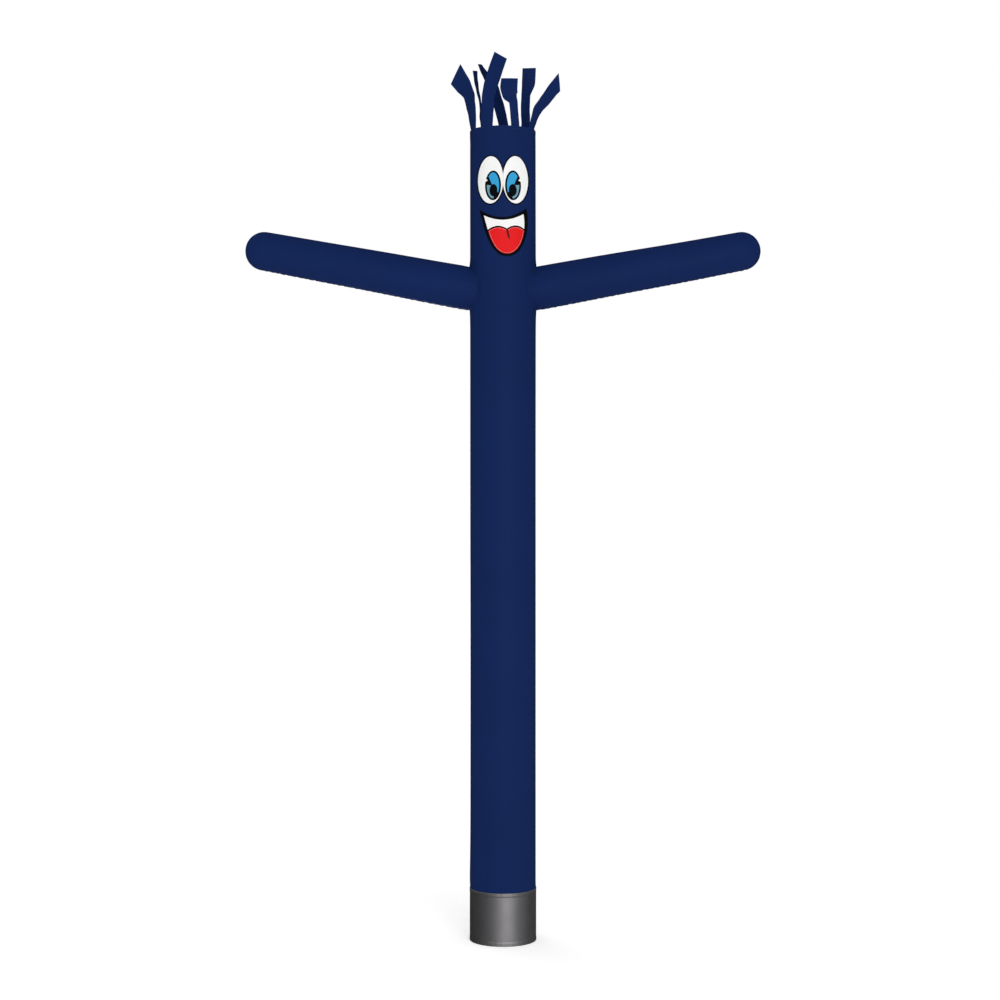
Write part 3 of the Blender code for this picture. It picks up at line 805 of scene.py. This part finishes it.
class DANCER_OT_arms(bpy.types.Operator):
    """Make the two tapering arms"""

    bl_idname = "dancer.arms"
    bl_label = "Arms"

    def execute(self, context):
        for side, word in ((-1, "left"), (1, "right")):
            points, alongs = arm_grid(side)
            girth = round_girth(points.shape[1], ARM_ROOT_RADIUS)
            sleeve = grid_cloth(f"arm_cloth_{word}", points, girth, alongs)
            close_tip(sleeve, side)
            give_thickness(sleeve, cloth().nylon)
            finished(sleeve, "navy", [f"arm_{word}"])
            outward = arm_outward(side)
            on_outside = slice(2, len(alongs) - 3)

            def under_line(aside, lift):
                """A line along the arm's underside, to one side of its seam and out from the cloth."""
                line = beside_underside(points[on_outside], aside)
                return line + lift * outward(line)

            strip = [under_line(aside, lift) for aside, lift in STRIP]
            seam_strip(f"arm_seam_{word}", strip, alongs[on_outside])

            def between(spots):
                """The direction halfway between straight out of the arm and straight out of the tube."""
                return outward(spots) + outward_from_axis(spots)

            under_rows = [under_line(aside, SEAM_STITCH_LIFT) for aside in SEAM_ROWS]
            rows = [straight_stitches(line, outward) for line in under_rows]
            root = points[1] + 0.0006 * outward(points[1])
            rows.append(zigzag_stitches(root, wide=0.0065, pitch=0.0026, normals_of=between))
            sew(f"arm_thread_{word}", rows, "blue_thread")
        return {"FINISHED"}


# The hair


class Station(NamedTuple):
    """One place along a hair ribbon, in metres, with the heading of its width in degrees."""

    up: float  # above the rim
    across: float  # +X
    deep: float  # +Y
    width: float
    heading: float  # 0 shows its whole width to the front, 90 shows its edge


class Hair(NamedTuple):
    """A hair ribbon: where its root is round the rim, how its end is cut, and its run upwards."""

    root: float  # degrees from the front
    slant: float  # how much longer its right edge is, as a share of its width
    stations: tuple


RIBBONS = (
    Hair(-70, 0.52, (
        Station(0.115, -0.224, -0.104, 0.108, -58),
        Station(0.228, -0.232, -0.112, 0.115, -48),
        Station(0.298, -0.276, -0.125, 0.130, -22),
        Station(0.372, -0.330, -0.140, 0.136, -10),
    )),
    Hair(-147, 0.0, (
        Station(0.100, -0.142, 0.190, 0.076, -116),
        Station(0.230, -0.164, 0.190, 0.072, -104),
        Station(0.370, -0.186, 0.180, 0.080, -109),
        Station(0.466, -0.195, 0.165, 0.084, -112),
    )),
    Hair(-30, -0.17, (
        Station(0.090, -0.111, -0.203, 0.092, -22),
        Station(0.200, -0.104, -0.205, 0.090, -16),
        Station(0.300, -0.080, -0.200, 0.100, -4),
        Station(0.400, -0.050, -0.180, 0.100, 4),
        Station(0.501, -0.016, -0.150, 0.098, 10),
    )),
    Hair(175, 0.3, (
        Station(0.110, 0.000, 0.222, 0.070, 170),
        Station(0.240, -0.030, 0.212, 0.080, 158),
        Station(0.350, -0.071, 0.190, 0.092, 150),
        Station(0.440, -0.123, 0.165, 0.076, 128),
        Station(0.505, -0.160, 0.140, 0.050, 118),
    )),
    Hair(22, 0.06, (
        Station(0.090, 0.079, -0.220, 0.062, 24),
        Station(0.165, 0.071, -0.226, 0.062, 18),
        Station(0.205, 0.048, -0.226, 0.106, 6),
        Station(0.260, 0.039, -0.222, 0.120, 2),
        Station(0.327, 0.045, -0.210, 0.115, -2),
    )),
    Hair(136, -0.07, (
        Station(0.110, 0.160, 0.172, 0.078, 142),
        Station(0.220, 0.161, 0.182, 0.072, 152),
        Station(0.300, 0.163, 0.183, 0.068, 160),
        Station(0.375, 0.181, 0.180, 0.096, 172),
        Station(0.485, 0.186, 0.165, 0.095, 178),
    )),
    Hair(63, -0.9, (
        Station(0.070, 0.221, -0.106, 0.084, 58),
        Station(0.146, 0.250, -0.106, 0.086, 42),
        Station(0.202, 0.291, -0.102, 0.088, 32),
        Station(0.270, 0.344, -0.096, 0.090, 24),
        Station(0.328, 0.393, -0.090, 0.092, 18),
    )),
)
ROOT_TUCK = 0.035  # how far below the rim a ribbon's root reaches
ROOT_FREE = 0.010  # how far above the rim it starts to leave the tube's round
ROOT_RADIUS = TUBE_RADIUS - 0.0032
SLANT_FROM = 0.7  # the share of a ribbon's length at which its slanting end starts
TACK_ROWS = (0.008, 0.019)  # below the rim
TACK_LIFT = 0.0003
RIBBON_HEM = 0.003  # from a ribbon's edge to the stitches along it


def crisp_curve(rows, shares, bend=0.10):
    """Rows of numbers read along straight stretches between them, with short bends where they meet."""
    knots = np.linspace(0, 1, len(rows))
    reach = bend / (len(rows) - 1)
    read = np.zeros((len(shares), rows.shape[1]))
    for shift, weight in ((-2, 0.08), (-1, 0.24), (0, 0.36), (1, 0.24), (2, 0.08)):
        room = np.minimum(shares, 1 - shares) / (2 * reach)
        places = shares + shift * reach * np.clip(room, 0, 1)
        read += weight * np.stack([np.interp(places, knots, column) for column in rows.T], axis=1)
    return read


def ribbon_points(hair, seed, rows=52, columns=9):
    """The grid of a ribbon's cloth, its places across and along it, and its width at each row."""
    root = math.radians(hair.root)
    start = round_axis(root, 0.0, ROOT_RADIUS)[:2]
    table = [(up, *start, hair.stations[0].width, hair.root) for up in (-ROOT_TUCK, ROOT_FREE)]
    shares = np.linspace(0, 1, rows)
    ups, *place, widths, headings = crisp_curve(np.array([*table, *hair.stations]), shares).T
    centres = np.stack((*place, RIM_HEIGHT + ups), axis=1)
    length = run_along(centres)
    run = unit(np.gradient(centres, axis=0))
    turn = np.radians(headings)
    wide = squared(np.stack((np.cos(turn), np.sin(turn), np.zeros(rows)), axis=1), run)
    outward = np.cross(wide, run)
    across = widths[:, None] * np.linspace(-0.5, 0.5, columns)
    grid = []
    for k, asides in enumerate(across):
        free = ups[k] - ROOT_FREE
        if free <= 0:
            grid.append(round_axis(root + asides / ROOT_RADIUS, centres[k, 2], ROOT_RADIUS))
            continue
        bend = max(1 - free / 0.25, 0.15) / ROOT_RADIUS
        slant = hair.slant * max(shares[k] - SLANT_FROM, 0) / (1 - SLANT_FROM)
        ease = min(free / 0.12, 1)
        turns, share = math.tau * length[k], asides / widths[k]
        ripple = np.sin(turns / 0.19 + seed) + 0.5 * np.sin(turns / 0.083 + 2 * seed + 2.5 * share)
        curl = 0.005 * np.sin(turns / 0.31 + 1.7 * seed) * (2 * share) ** 2
        line = centres[k] + asides[:, None] * (wide[k] + slant * run[k])
        lift = ease * (creases().flutter * ripple + curl) - bend * asides**2 / 2
        grid.append(line + lift[:, None] * outward[k])
    return np.array(grid), across, length, widths


class DANCER_OT_hair(bpy.types.Operator):
    """Make the hair: ribbons sewn inside the rim"""

    bl_idname = "dancer.hair"
    bl_label = "Hair"

    def execute(self, context):
        tacks, edges = [], []
        for k, hair in enumerate(RIBBONS):
            points, across, length, width = ribbon_points(hair, 1.0 + 1.9 * k)
            ribbon = grid_cloth(f"ribbon_{k + 1}", points, across, length)
            give_thickness(ribbon, cloth().nylon, offset=0.0)
            finished(ribbon, "navy", [f"streamer_{k + 1}"])
            above_rim = slice(np.searchsorted(length, ROOT_TUCK + 0.004), None)
            middle = points[:, points.shape[1] // 2]
            for edge in (points[:, 0], points[:, -1]):
                line = edge + RIBBON_HEM * unit(middle - edge)
                edges.append(straight_stitches(line[above_rim]))
            half = 0.45 * hair.stations[0].width / TUBE_RADIUS
            turns = math.radians(hair.root) + np.linspace(-half, half, 24)
            for below in TACK_ROWS:
                tacks.append(straight_stitches(on_tube(turns, RIM_HEIGHT - below, TACK_LIFT)))
        sew("ribbon_tacks", tacks, "blue_thread")
        sew("ribbon_edges", edges, "blue_thread", width=0.0017)
        return {"FINISHED"}


# The face


class Oval(NamedTuple):
    """Half an oval's width and height, and the place of its centre."""

    across: float
    up: float
    wide: float
    tall: float


FACE_HEIGHT = 5.274
OUTLINE = 0.0095  # how far the black backing shows round the white
EYE = Oval(0.0851, 0.0035, 0.0866, 0.1625)
EYES_APART = 0.0008  # between the two whites, where they meet
IRIS = Oval(0.0678, -0.0360, 0.0540, 0.1020)
IRIS_RING = 0.0125
PUPIL = Oval(0.0652, -0.0695, 0.0262, 0.0415)
NOTCH_TOP, NOTCH_FOOT, NOTCH_DEEP = 0.049, 0.026, 0.019  # the bite in the iris's outer side
WEDGE_TOP, WEDGE_FOOT = 0.062, 0.006  # the dark wedge between the iris's two blues
BLUE_END = 0.050  # how far below the iris's centre the bright blue goes, on the inner side
MOUTH_TOP, MOUTH_WIDE, MOUTH_DEEP, MOUTH_SAG = -0.192, 0.161, 0.332, 0.063
MOUTH_ROUNDNESS = 0.46
MOUTH_SHIFT, MOUTH_LEAN = 0.0005, 0.027  # how far its top lies to the right, and its bottom beyond that
MOUTH_TILT = 0.005  # how much higher its right corner is, and lower its left one
LIP = 0.0255
LIP_ABOVE, LIP_BELOW = 0.90, 0.75  # the lip's shares above and below the mouth
TEETH_DROP, TEETH_SAG = 0.041, 0.041
TONGUE_TOP, TONGUE_HUMP, TONGUE_VALLEY = -0.346, 0.022, 0.52
TONGUE_LINE = 0.011
CREASE_WIDE, CREASE_LONG, CREASE_LEAN, CREASE_DROP = 0.0135, 0.065, 0.016, -0.004


def mirrored(outline):
    return [(-x, z) for x, z in outline]


def oval_points(oval, start=0.0, end=math.tau, points=96, inset=0.0):
    """Points of an oval, or of a stretch of it, anticlockwise from its right."""
    turns = np.linspace(start, end, points + 1)
    if math.isclose(end - start, math.tau):
        turns = turns[:-1]
    wide, tall = oval.wide - inset, oval.tall - inset
    return [(oval.across + wide * math.cos(t), oval.up + tall * math.sin(t)) for t in turns]


def eyes_outline(points=120):
    """The outline of the two eyes with their black border, which run into each other at the middle."""
    meeting = math.acos(-EYE.across / (EYE.wide + OUTLINE))
    right = oval_points(EYE, -meeting, meeting, points, -OUTLINE)
    right[0] = (0.0, right[0][1])
    right[-1] = (0.0, right[-1][1])
    return right + mirrored(right[1:-1])[::-1]


def eye_outline():
    """The right eye's white, cut off straight where it meets the left one."""
    return [(max(x, EYES_APART / 2), z) for x, z in oval_points(EYE)]


def turn_at(up, inset=0.0):
    """The turn, from the right, of the iris's oval where it is this far above its centre."""
    return math.asin(up / (IRIS.tall - inset))


def ring_outline():
    """The right eye's iris ring: an oval with a bite in its outer side."""
    top, foot = turn_at(NOTCH_TOP), turn_at(NOTCH_FOOT)
    bite = (IRIS.across + IRIS.wide - NOTCH_DEEP, IRIS.up + (NOTCH_TOP + NOTCH_FOOT) / 2)
    return oval_points(IRIS, top, foot + math.tau, 96) + [bite]


def iris_outline():
    """The right eye's bright blue: over the top and down the inner side, to beside the pupil."""
    start, end = turn_at(WEDGE_TOP, IRIS_RING), math.pi + turn_at(BLUE_END, IRIS_RING)
    edge = oval_points(IRIS, start, end, 60, IRIS_RING)
    return edge + [
        (PUPIL.across - 0.006, PUPIL.up),
        (PUPIL.across + 0.006, PUPIL.up + 0.71 * PUPIL.tall),
    ]


def iris_shade_outline():
    """The right eye's greyer blue: below the dark wedge, down the outer side."""
    edge = oval_points(IRIS, 1.47 * math.pi, turn_at(WEDGE_FOOT, IRIS_RING) + math.tau, 30, IRIS_RING)
    return edge + [
        (PUPIL.across + 0.0113, PUPIL.up + 0.81 * PUPIL.tall),
        (PUPIL.across + 0.003, PUPIL.up),
    ]


def lean(share):
    """How far to the right the mouth's middle lies at a share of its depth."""
    return MOUTH_SHIFT + MOUTH_LEAN * (1 - (1 - min(max(share, 0), 1)) ** 2.6)


def inside_depth(inset):
    return MOUTH_DEEP - (LIP_ABOVE + LIP_BELOW) * inset


def mouth_place(side, share, inset=0.0):
    """A point of the mouth's left (-1), right (+1) or middle (0), at a share of its depth."""
    wide = (MOUTH_WIDE - inset) * (1 - share**2) ** MOUTH_ROUNDNESS
    height = MOUTH_TOP - LIP_ABOVE * inset - inside_depth(inset) * share
    return side * wide + lean(share), height + side * MOUTH_TILT * (1 - share**2)


def share_at(height, inset=0.0):
    """The share of the mouth's depth at which its edge has this height."""
    return (MOUTH_TOP - LIP_ABOVE * inset - height) / inside_depth(inset)


def on_the_way(left, right, share, lift):
    """A place at this share of the way from one to another, and lifted."""
    return left[0] + (right[0] - left[0]) * share, left[1] + (right[1] - left[1]) * share + lift


def sagging(left, right, sag, points=40):
    """An edge from one corner to the other, hanging down in the middle."""
    return [on_the_way(left, right, s, -sag * 4 * s * (1 - s)) for s in np.linspace(0, 1, points + 1)]


def mouth_below(inset, first_share, points=80):
    """The mouth's lower edge from its right side, round the bottom, to its left side."""
    start = math.asin(first_share)
    edge = []
    for k in range(points + 1):
        turn = start + (math.pi - 2 * start) * k / points
        side = 0 if 2 * k == points else (1 if 2 * k < points else -1)
        edge.append(mouth_place(side, min(math.sin(turn), 1), inset))
    return edge


def mouth_outline():
    lip = sagging(mouth_place(-1, 0), mouth_place(1, 0), MOUTH_SAG)
    return lip + mouth_below(0, 0.0)[1:-1]


def tongue_top(lift, points=24):
    """The tongue's upper edge from left to right: two humps, and a valley between them."""
    share = share_at(TONGUE_TOP + lift, LIP)
    left, right = mouth_place(-1, share, LIP), mouth_place(1, share, LIP)
    top = []
    for k in range(2 * points + 1):
        past = k / points
        s = TONGUE_VALLEY * past if past <= 1 else TONGUE_VALLEY + (1 - TONGUE_VALLEY) * (past - 1)
        hump = TONGUE_HUMP * abs(math.sin(math.pi * past)) ** 0.8
        top.append(on_the_way(left, right, s, hump))
    return top


def teeth_outline():
    shares = [share_at(z, LIP) for z in (MOUTH_TOP - TEETH_DROP, TONGUE_TOP + TONGUE_LINE)]
    between = np.linspace(*shares, 10)[1:-1]
    top = sagging(mouth_place(-1, shares[0], LIP), mouth_place(1, shares[0], LIP), TEETH_SAG)
    right = [mouth_place(1, share, LIP) for share in between]
    left = [mouth_place(-1, share, LIP) for share in between[::-1]]
    return top + right + tongue_top(TONGUE_LINE)[::-1] + left


def tongue_outline():
    return tongue_top(0) + mouth_below(LIP, share_at(TONGUE_TOP, LIP))[1:-1]


def crease_outline(points=16):
    """The line down the tongue's middle, leaning a little, with a blunt end."""
    top = tongue_top(0)
    across, up = top[len(top) // 2]
    up -= CREASE_DROP
    left, right = [], []
    for k in range(points):
        share = k / points
        half = CREASE_WIDE / 2 * (1 - share**4) ** 0.5
        centre, height = across + CREASE_LEAN * share, up - CREASE_LONG * share
        left.append((centre - half, height))
        right.append((centre + half, height))
    return right + [(across + CREASE_LEAN, up - CREASE_LONG)] + left[::-1]


PATCH_CLEAR = 0.0004  # from the tube's cloth to the lowest patch
PATCH_STEP = 0.0003  # between one patch and the next
FINE_ZIGZAG, WIDE_ZIGZAG = 0.0025, 0.0060
CELL_TURN, CELL_TALL = 3, 0.02  # degrees and metres between the cuts that let a patch bend


def face_points(outline, layer):
    """Places on the face's patches of a layer, for places of the face as it is seen from the front."""
    flat = np.array(outline)
    out = PATCH_CLEAR + layer * (cloth().patch + PATCH_STEP) + cloth().patch
    return on_tube(np.arcsin(flat[:, 0] / TUBE_RADIUS), FACE_HEIGHT + flat[:, 1], out)


def unrolled(x, z):
    """A place of the face on the tube's cloth when that is laid flat."""
    return TUBE_RADIUS * math.asin(x / TUBE_RADIUS), z


def signed_area(outline):
    """The area inside an outline, below 0 where it runs clockwise."""
    here = np.array(outline)
    after = np.roll(here, -1, axis=0)
    return float(np.sum(here[:, 0] * after[:, 1] - after[:, 0] * here[:, 1])) / 2


def lay_patch(name, outline, layer, colour_name):
    """A patch of cloth on the tube's front, or on the patch below it."""
    shape = bmesh.new()
    shape.faces.new([shape.verts.new((x, 0, z)) for x, z in outline])
    turns = [math.radians(CELL_TURN * k) for k in range(-28, 29)]
    cuts = [((TUBE_RADIUS * math.sin(turn), 0, 0), (1, 0, 0)) for turn in turns]
    cuts += [((0, 0, CELL_TALL * k), (0, 0, 1)) for k in range(-28, 13)]
    for place, normal in cuts:
        geom = shape.verts[:] + shape.edges[:] + shape.faces[:]
        bmesh.ops.bisect_plane(shape, geom=geom, dist=1e-6, plane_co=place, plane_no=normal)
    layer_uv = shape.loops.layers.uv.new("cloth")
    for face in shape.faces:
        for loop in face.loops:
            loop[layer_uv].uv = unrolled(loop.vert.co.x, loop.vert.co.z)
    places = face_points([(vert.co.x, vert.co.z) for vert in shape.verts], layer)
    for vert, place in zip(shape.verts, places):
        vert.co = Vector(place)
    bmesh.ops.recalc_face_normals(shape, faces=shape.faces)
    shape.faces.ensure_lookup_table()
    if shape.faces[0].normal.y > 0:
        bmesh.ops.reverse_faces(shape, faces=shape.faces)
    mesh = bpy.data.meshes.new(name)
    shape.to_mesh(mesh)
    shape.free()
    obj = linked(name, mesh)
    give_thickness(obj, cloth().patch)
    finished(obj, colour_name, [name.replace("_cloth", "")])


def drawn_in(outline, inset):
    """An outline that runs this far inside another one."""
    here = np.array(outline)
    along = unit(np.roll(here, -1, axis=0) - np.roll(here, 1, axis=0))
    inward = np.stack((-along[:, 1], along[:, 0]), axis=1) * math.copysign(1, signed_area(outline))
    return here + inset * inward


def edge_stitches(outline, layer, wide=0.0030, pitch=0.0021):
    """Zigzag stitches just inside the edge of a patch."""
    return zigzag_stitches(face_points(drawn_in(outline, 0.6 * wide), layer), wide, pitch)


class DANCER_OT_eyes(bpy.types.Operator):
    """Lay the eyes' patches on the head"""

    bl_idname = "dancer.eyes"
    bl_label = "Eyes"

    def execute(self, context):
        lay_patch("eye_backing_cloth", eyes_outline(), 0, "black")
        black, white = [edge_stitches(eyes_outline(), 0)], []
        pupil = oval_points(PUPIL, points=64)
        pieces = (
            ("eye_white", eye_outline(), 1, "white"),
            ("iris_ring", ring_outline(), 2, "black"),
            ("iris", iris_outline(), 3, "blue"),
            ("iris_shade", iris_shade_outline(), 3, "grey_blue"),
            ("pupil", pupil, 4, "black"),
        )
        for word, turned in (("left", mirrored), ("right", list)):
            for name, outline, layer, colour_name in pieces:
                lay_patch(f"{name}_{word}_cloth", turned(outline), layer, colour_name)
            white.append(edge_stitches(turned(oval_points(EYE, inset=0.0015)), 1))
            black.append(edge_stitches(turned(ring_outline()), 2, FINE_ZIGZAG))
            black.append(edge_stitches(turned(pupil), 4, FINE_ZIGZAG))
        sew("eye_thread_black", black, "black")
        sew("eye_thread_white", white, "white")
        return {"FINISHED"}


class DANCER_OT_mouth(bpy.types.Operator):
    """Lay the mouth's patches on the head"""

    bl_idname = "dancer.mouth"
    bl_label = "Mouth"

    def execute(self, context):
        lay_patch("mouth_backing_cloth", mouth_outline(), 0, "black")
        lay_patch("teeth_cloth", teeth_outline(), 1, "white")
        lay_patch("tongue_cloth", tongue_outline(), 1, "red")
        lay_patch("tongue_crease_cloth", crease_outline(), 2, "dark_red")
        sew("mouth_thread_black", [edge_stitches(mouth_outline(), 0)], "black")
        sew("mouth_thread_white", [edge_stitches(teeth_outline(), 1, FINE_ZIGZAG)], "white")
        sew("tongue_thread", [edge_stitches(tongue_outline(), 1, WIDE_ZIGZAG)], "pink_thread")
        return {"FINISHED"}


# Topstitching

COLLAR_STITCHING = (0.006, HEM - 0.005, COLLAR_HEIGHT - 0.011, COLLAR_HEIGHT - HEM + 0.004)
SERGING = COLLAR_HEIGHT - 0.0030
RIM_STITCHING = (RIM_HEIGHT - 0.004, RIM_HEIGHT - HEM + 0.004)


def ring_line(points_of, height):
    """A line of stitching round the tube or the collar."""
    return points_of(full_turn(400), height, STITCH_LIFT)


def ring_rows(points_of, heights):
    return [straight_stitches(ring_line(points_of, height), closed=True) for height in heights]


def armhole_line(side, out_from_seam, count=200):
    """A line on the tube round an armhole, some way out from its seam."""
    angle, height = armhole_edge(full_turn(count), ARMHOLE_RADIUS + out_from_seam)
    return on_tube(side * angle, height, STITCH_LIFT)


class DANCER_OT_thread(bpy.types.Operator):
    """Sew the rows of topstitching along the hems and seams"""

    bl_idname = "dancer.thread"
    bl_label = "Topstitching"

    def execute(self, context):
        sew("collar_thread", ring_rows(collar_points, COLLAR_STITCHING), "dark_thread")
        # Serging along the collar's top edge: real stitches, whose light grey is a painted highlight of
        # that edge.
        serging = zigzag_stitches(ring_line(collar_points, SERGING), wide=0.0058, pitch=0.0018)
        sew("collar_edge_thread", [serging], "grey_thread")
        sew("rim_thread", ring_rows(on_tube, RIM_STITCHING), "blue_thread")
        heights = np.linspace(COLLAR_HEIGHT + 0.004, RIM_HEIGHT - 0.004, 900)
        back = [straight_stitches(back_line(aside, SEAM_STITCH_LIFT, heights)) for aside in SEAM_ROWS]
        sew("back_seam_thread", back, "blue_thread")
        armholes = [straight_stitches(armhole_line(side, 0.006), closed=True) for side in (-1, 1)]
        sew("armhole_thread", armholes, "blue_thread")
        return {"FINISHED"}


# The stage


def new_lamp(name, kind, power, axis, direction):
    """A light in the scene, turned so that this axis of its own points in a direction."""
    data = bpy.data.lights.new(name, kind)
    data.energy = power
    lamp = linked(name, data)
    lamp.rotation_euler = Vector(direction).to_track_quat(axis, "Y").to_euler()
    return lamp


def sheen_light(name, place, power):
    """A tall panel, turned to the dancer's middle, that only shows as sheen on the cloth."""
    lamp = new_lamp(name, "AREA", power, "-Z", Vector((0, 0, 2.6)) - Vector(place))
    lamp.data.shape = "RECTANGLE"
    lamp.data.size, lamp.data.size_y = 2.0, 6.4
    lamp.location = place
    lamp.visible_camera = lamp.visible_diffuse = False


def soft_sun(name, away, spread, strength):
    """A far, broad light: the direction it comes from, its width in degrees, and its strength."""
    lamp = new_lamp(name, "SUN", strength, "Z", away)
    lamp.data.angle = math.radians(spread)
    lamp.visible_glossy = False


def set_world(seen, soft, mirrored_light):
    """A pale studio: how bright it looks, its soft light, and how much of it gloss reflects."""
    world = bpy.data.worlds.new("studio")
    bpy.context.scene.world = world
    world.use_nodes = True
    tree = world.node_tree
    tree.nodes.clear()
    ray = tree.nodes.new("ShaderNodeLightPath").outputs
    strength = 0.0
    for kind, amount in (("Camera", seen), ("Diffuse", soft), ("Glossy", mirrored_light)):
        strength = sum_node(tree, "MULTIPLY_ADD", ray[f"Is {kind} Ray"], amount, strength)
    sky = new_node(tree, "ShaderNodeBackground", {"Color": (1, 1, 1, 1), "Strength": strength})
    new_node(tree, "ShaderNodeOutputWorld", {"Surface": sky[0]})


class DANCER_OT_stage(bpy.types.Operator):
    """Set up the pale floor, the soft studio light and the camera"""

    bl_idname = "dancer.stage"
    bl_label = "Stage"

    def execute(self, context):
        bpy.ops.object.select_all(action="DESELECT")
        bpy.ops.mesh.primitive_plane_add(size=160, location=(0, 0, 0))
        floor = context.active_object
        floor.name = "floor"
        paint, shader = new_material("pale_floor")
        feed_all(paint.node_tree, shader, {
            "Base Color": (0.98, 0.98, 0.98, 1),
            "Roughness": 1.0,
            "Specular IOR Level": 0.0,
            "Emission Color": (1, 1, 1, 1),
            "Emission Strength": 0.34,
        })
        floor.data.materials.append(paint)
        floor.visible_glossy = False

        set_world(seen=1.0, soft=0.50, mirrored_light=0.03)
        sheen_light("front_sheen", (2.3, -10.8, 3.2), power=960)
        sheen_light("back_sheen", (-0.8, 11.0, 3.4), power=550)
        soft_sun("key_light", (0.9, -5.0, 3.7), spread=40, strength=1.02)
        soft_sun("back_light", (-3.0, 4.0, 3.0), spread=50, strength=0.45)

        camera = linked("camera", bpy.data.cameras.new("camera"))
        camera.data.lens, camera.data.sensor_width = 66.857, 36.0  # millimetres
        camera.data.clip_start, camera.data.clip_end = 0.1, 400
        camera.location = (-0.021, -13.0, 3.073)
        camera.rotation_euler = (math.pi / 2, 0, 0)
        context.scene.camera = camera
        context.scene.view_settings.view_transform = "Standard"
        context.scene.view_settings.look = "None"
        return {"FINISHED"}


class DANCER_PT_panel(bpy.types.Panel):
    """Sizes, creases and colours of the air dancer, and the steps that make it"""

    bl_idname = "DANCER_PT_panel"
    bl_label = "Air Dancer"
    bl_space_type = "VIEW_3D"
    bl_region_type = "UI"
    bl_category = "Air Dancer"

    def draw(self, context):
        for word, kind in GROUPS.items():
            box = self.layout.box()
            box.label(text=word.title())
            for name in kind.__annotations__:
                box.prop(getattr(context.scene, f"dancer_{word}"), name)
        for step in STEPS:
            self.layout.operator(step.bl_idname)


GROUPS = {"cloth": DancerCloth, "creases": DancerCreases, "colours": DancerColours}
STEPS = (
    DANCER_OT_stage, DANCER_OT_collar, DANCER_OT_tube, DANCER_OT_arms, DANCER_OT_hair, DANCER_OT_eyes,
    DANCER_OT_mouth, DANCER_OT_thread,
)
CLASSES = (*GROUPS.values(), *STEPS, DANCER_PT_panel)


def register():
    for item in CLASSES:
        bpy.utils.register_class(item)
    for word, kind in GROUPS.items():
        setattr(bpy.types.Scene, f"dancer_{word}", PointerProperty(type=kind))


def unregister():
    for word in GROUPS:
        delattr(bpy.types.Scene, f"dancer_{word}")
    for item in reversed(CLASSES):
        bpy.utils.unregister_class(item)


def main():
    register()
    bpy.ops.dancer.stage()
    bpy.ops.dancer.collar()
    bpy.ops.dancer.tube()
    bpy.ops.dancer.arms()
    bpy.ops.dancer.hair()
    bpy.ops.dancer.eyes()
    bpy.ops.dancer.mouth()
    bpy.ops.dancer.thread()


if __name__ == "__main__":
    main()
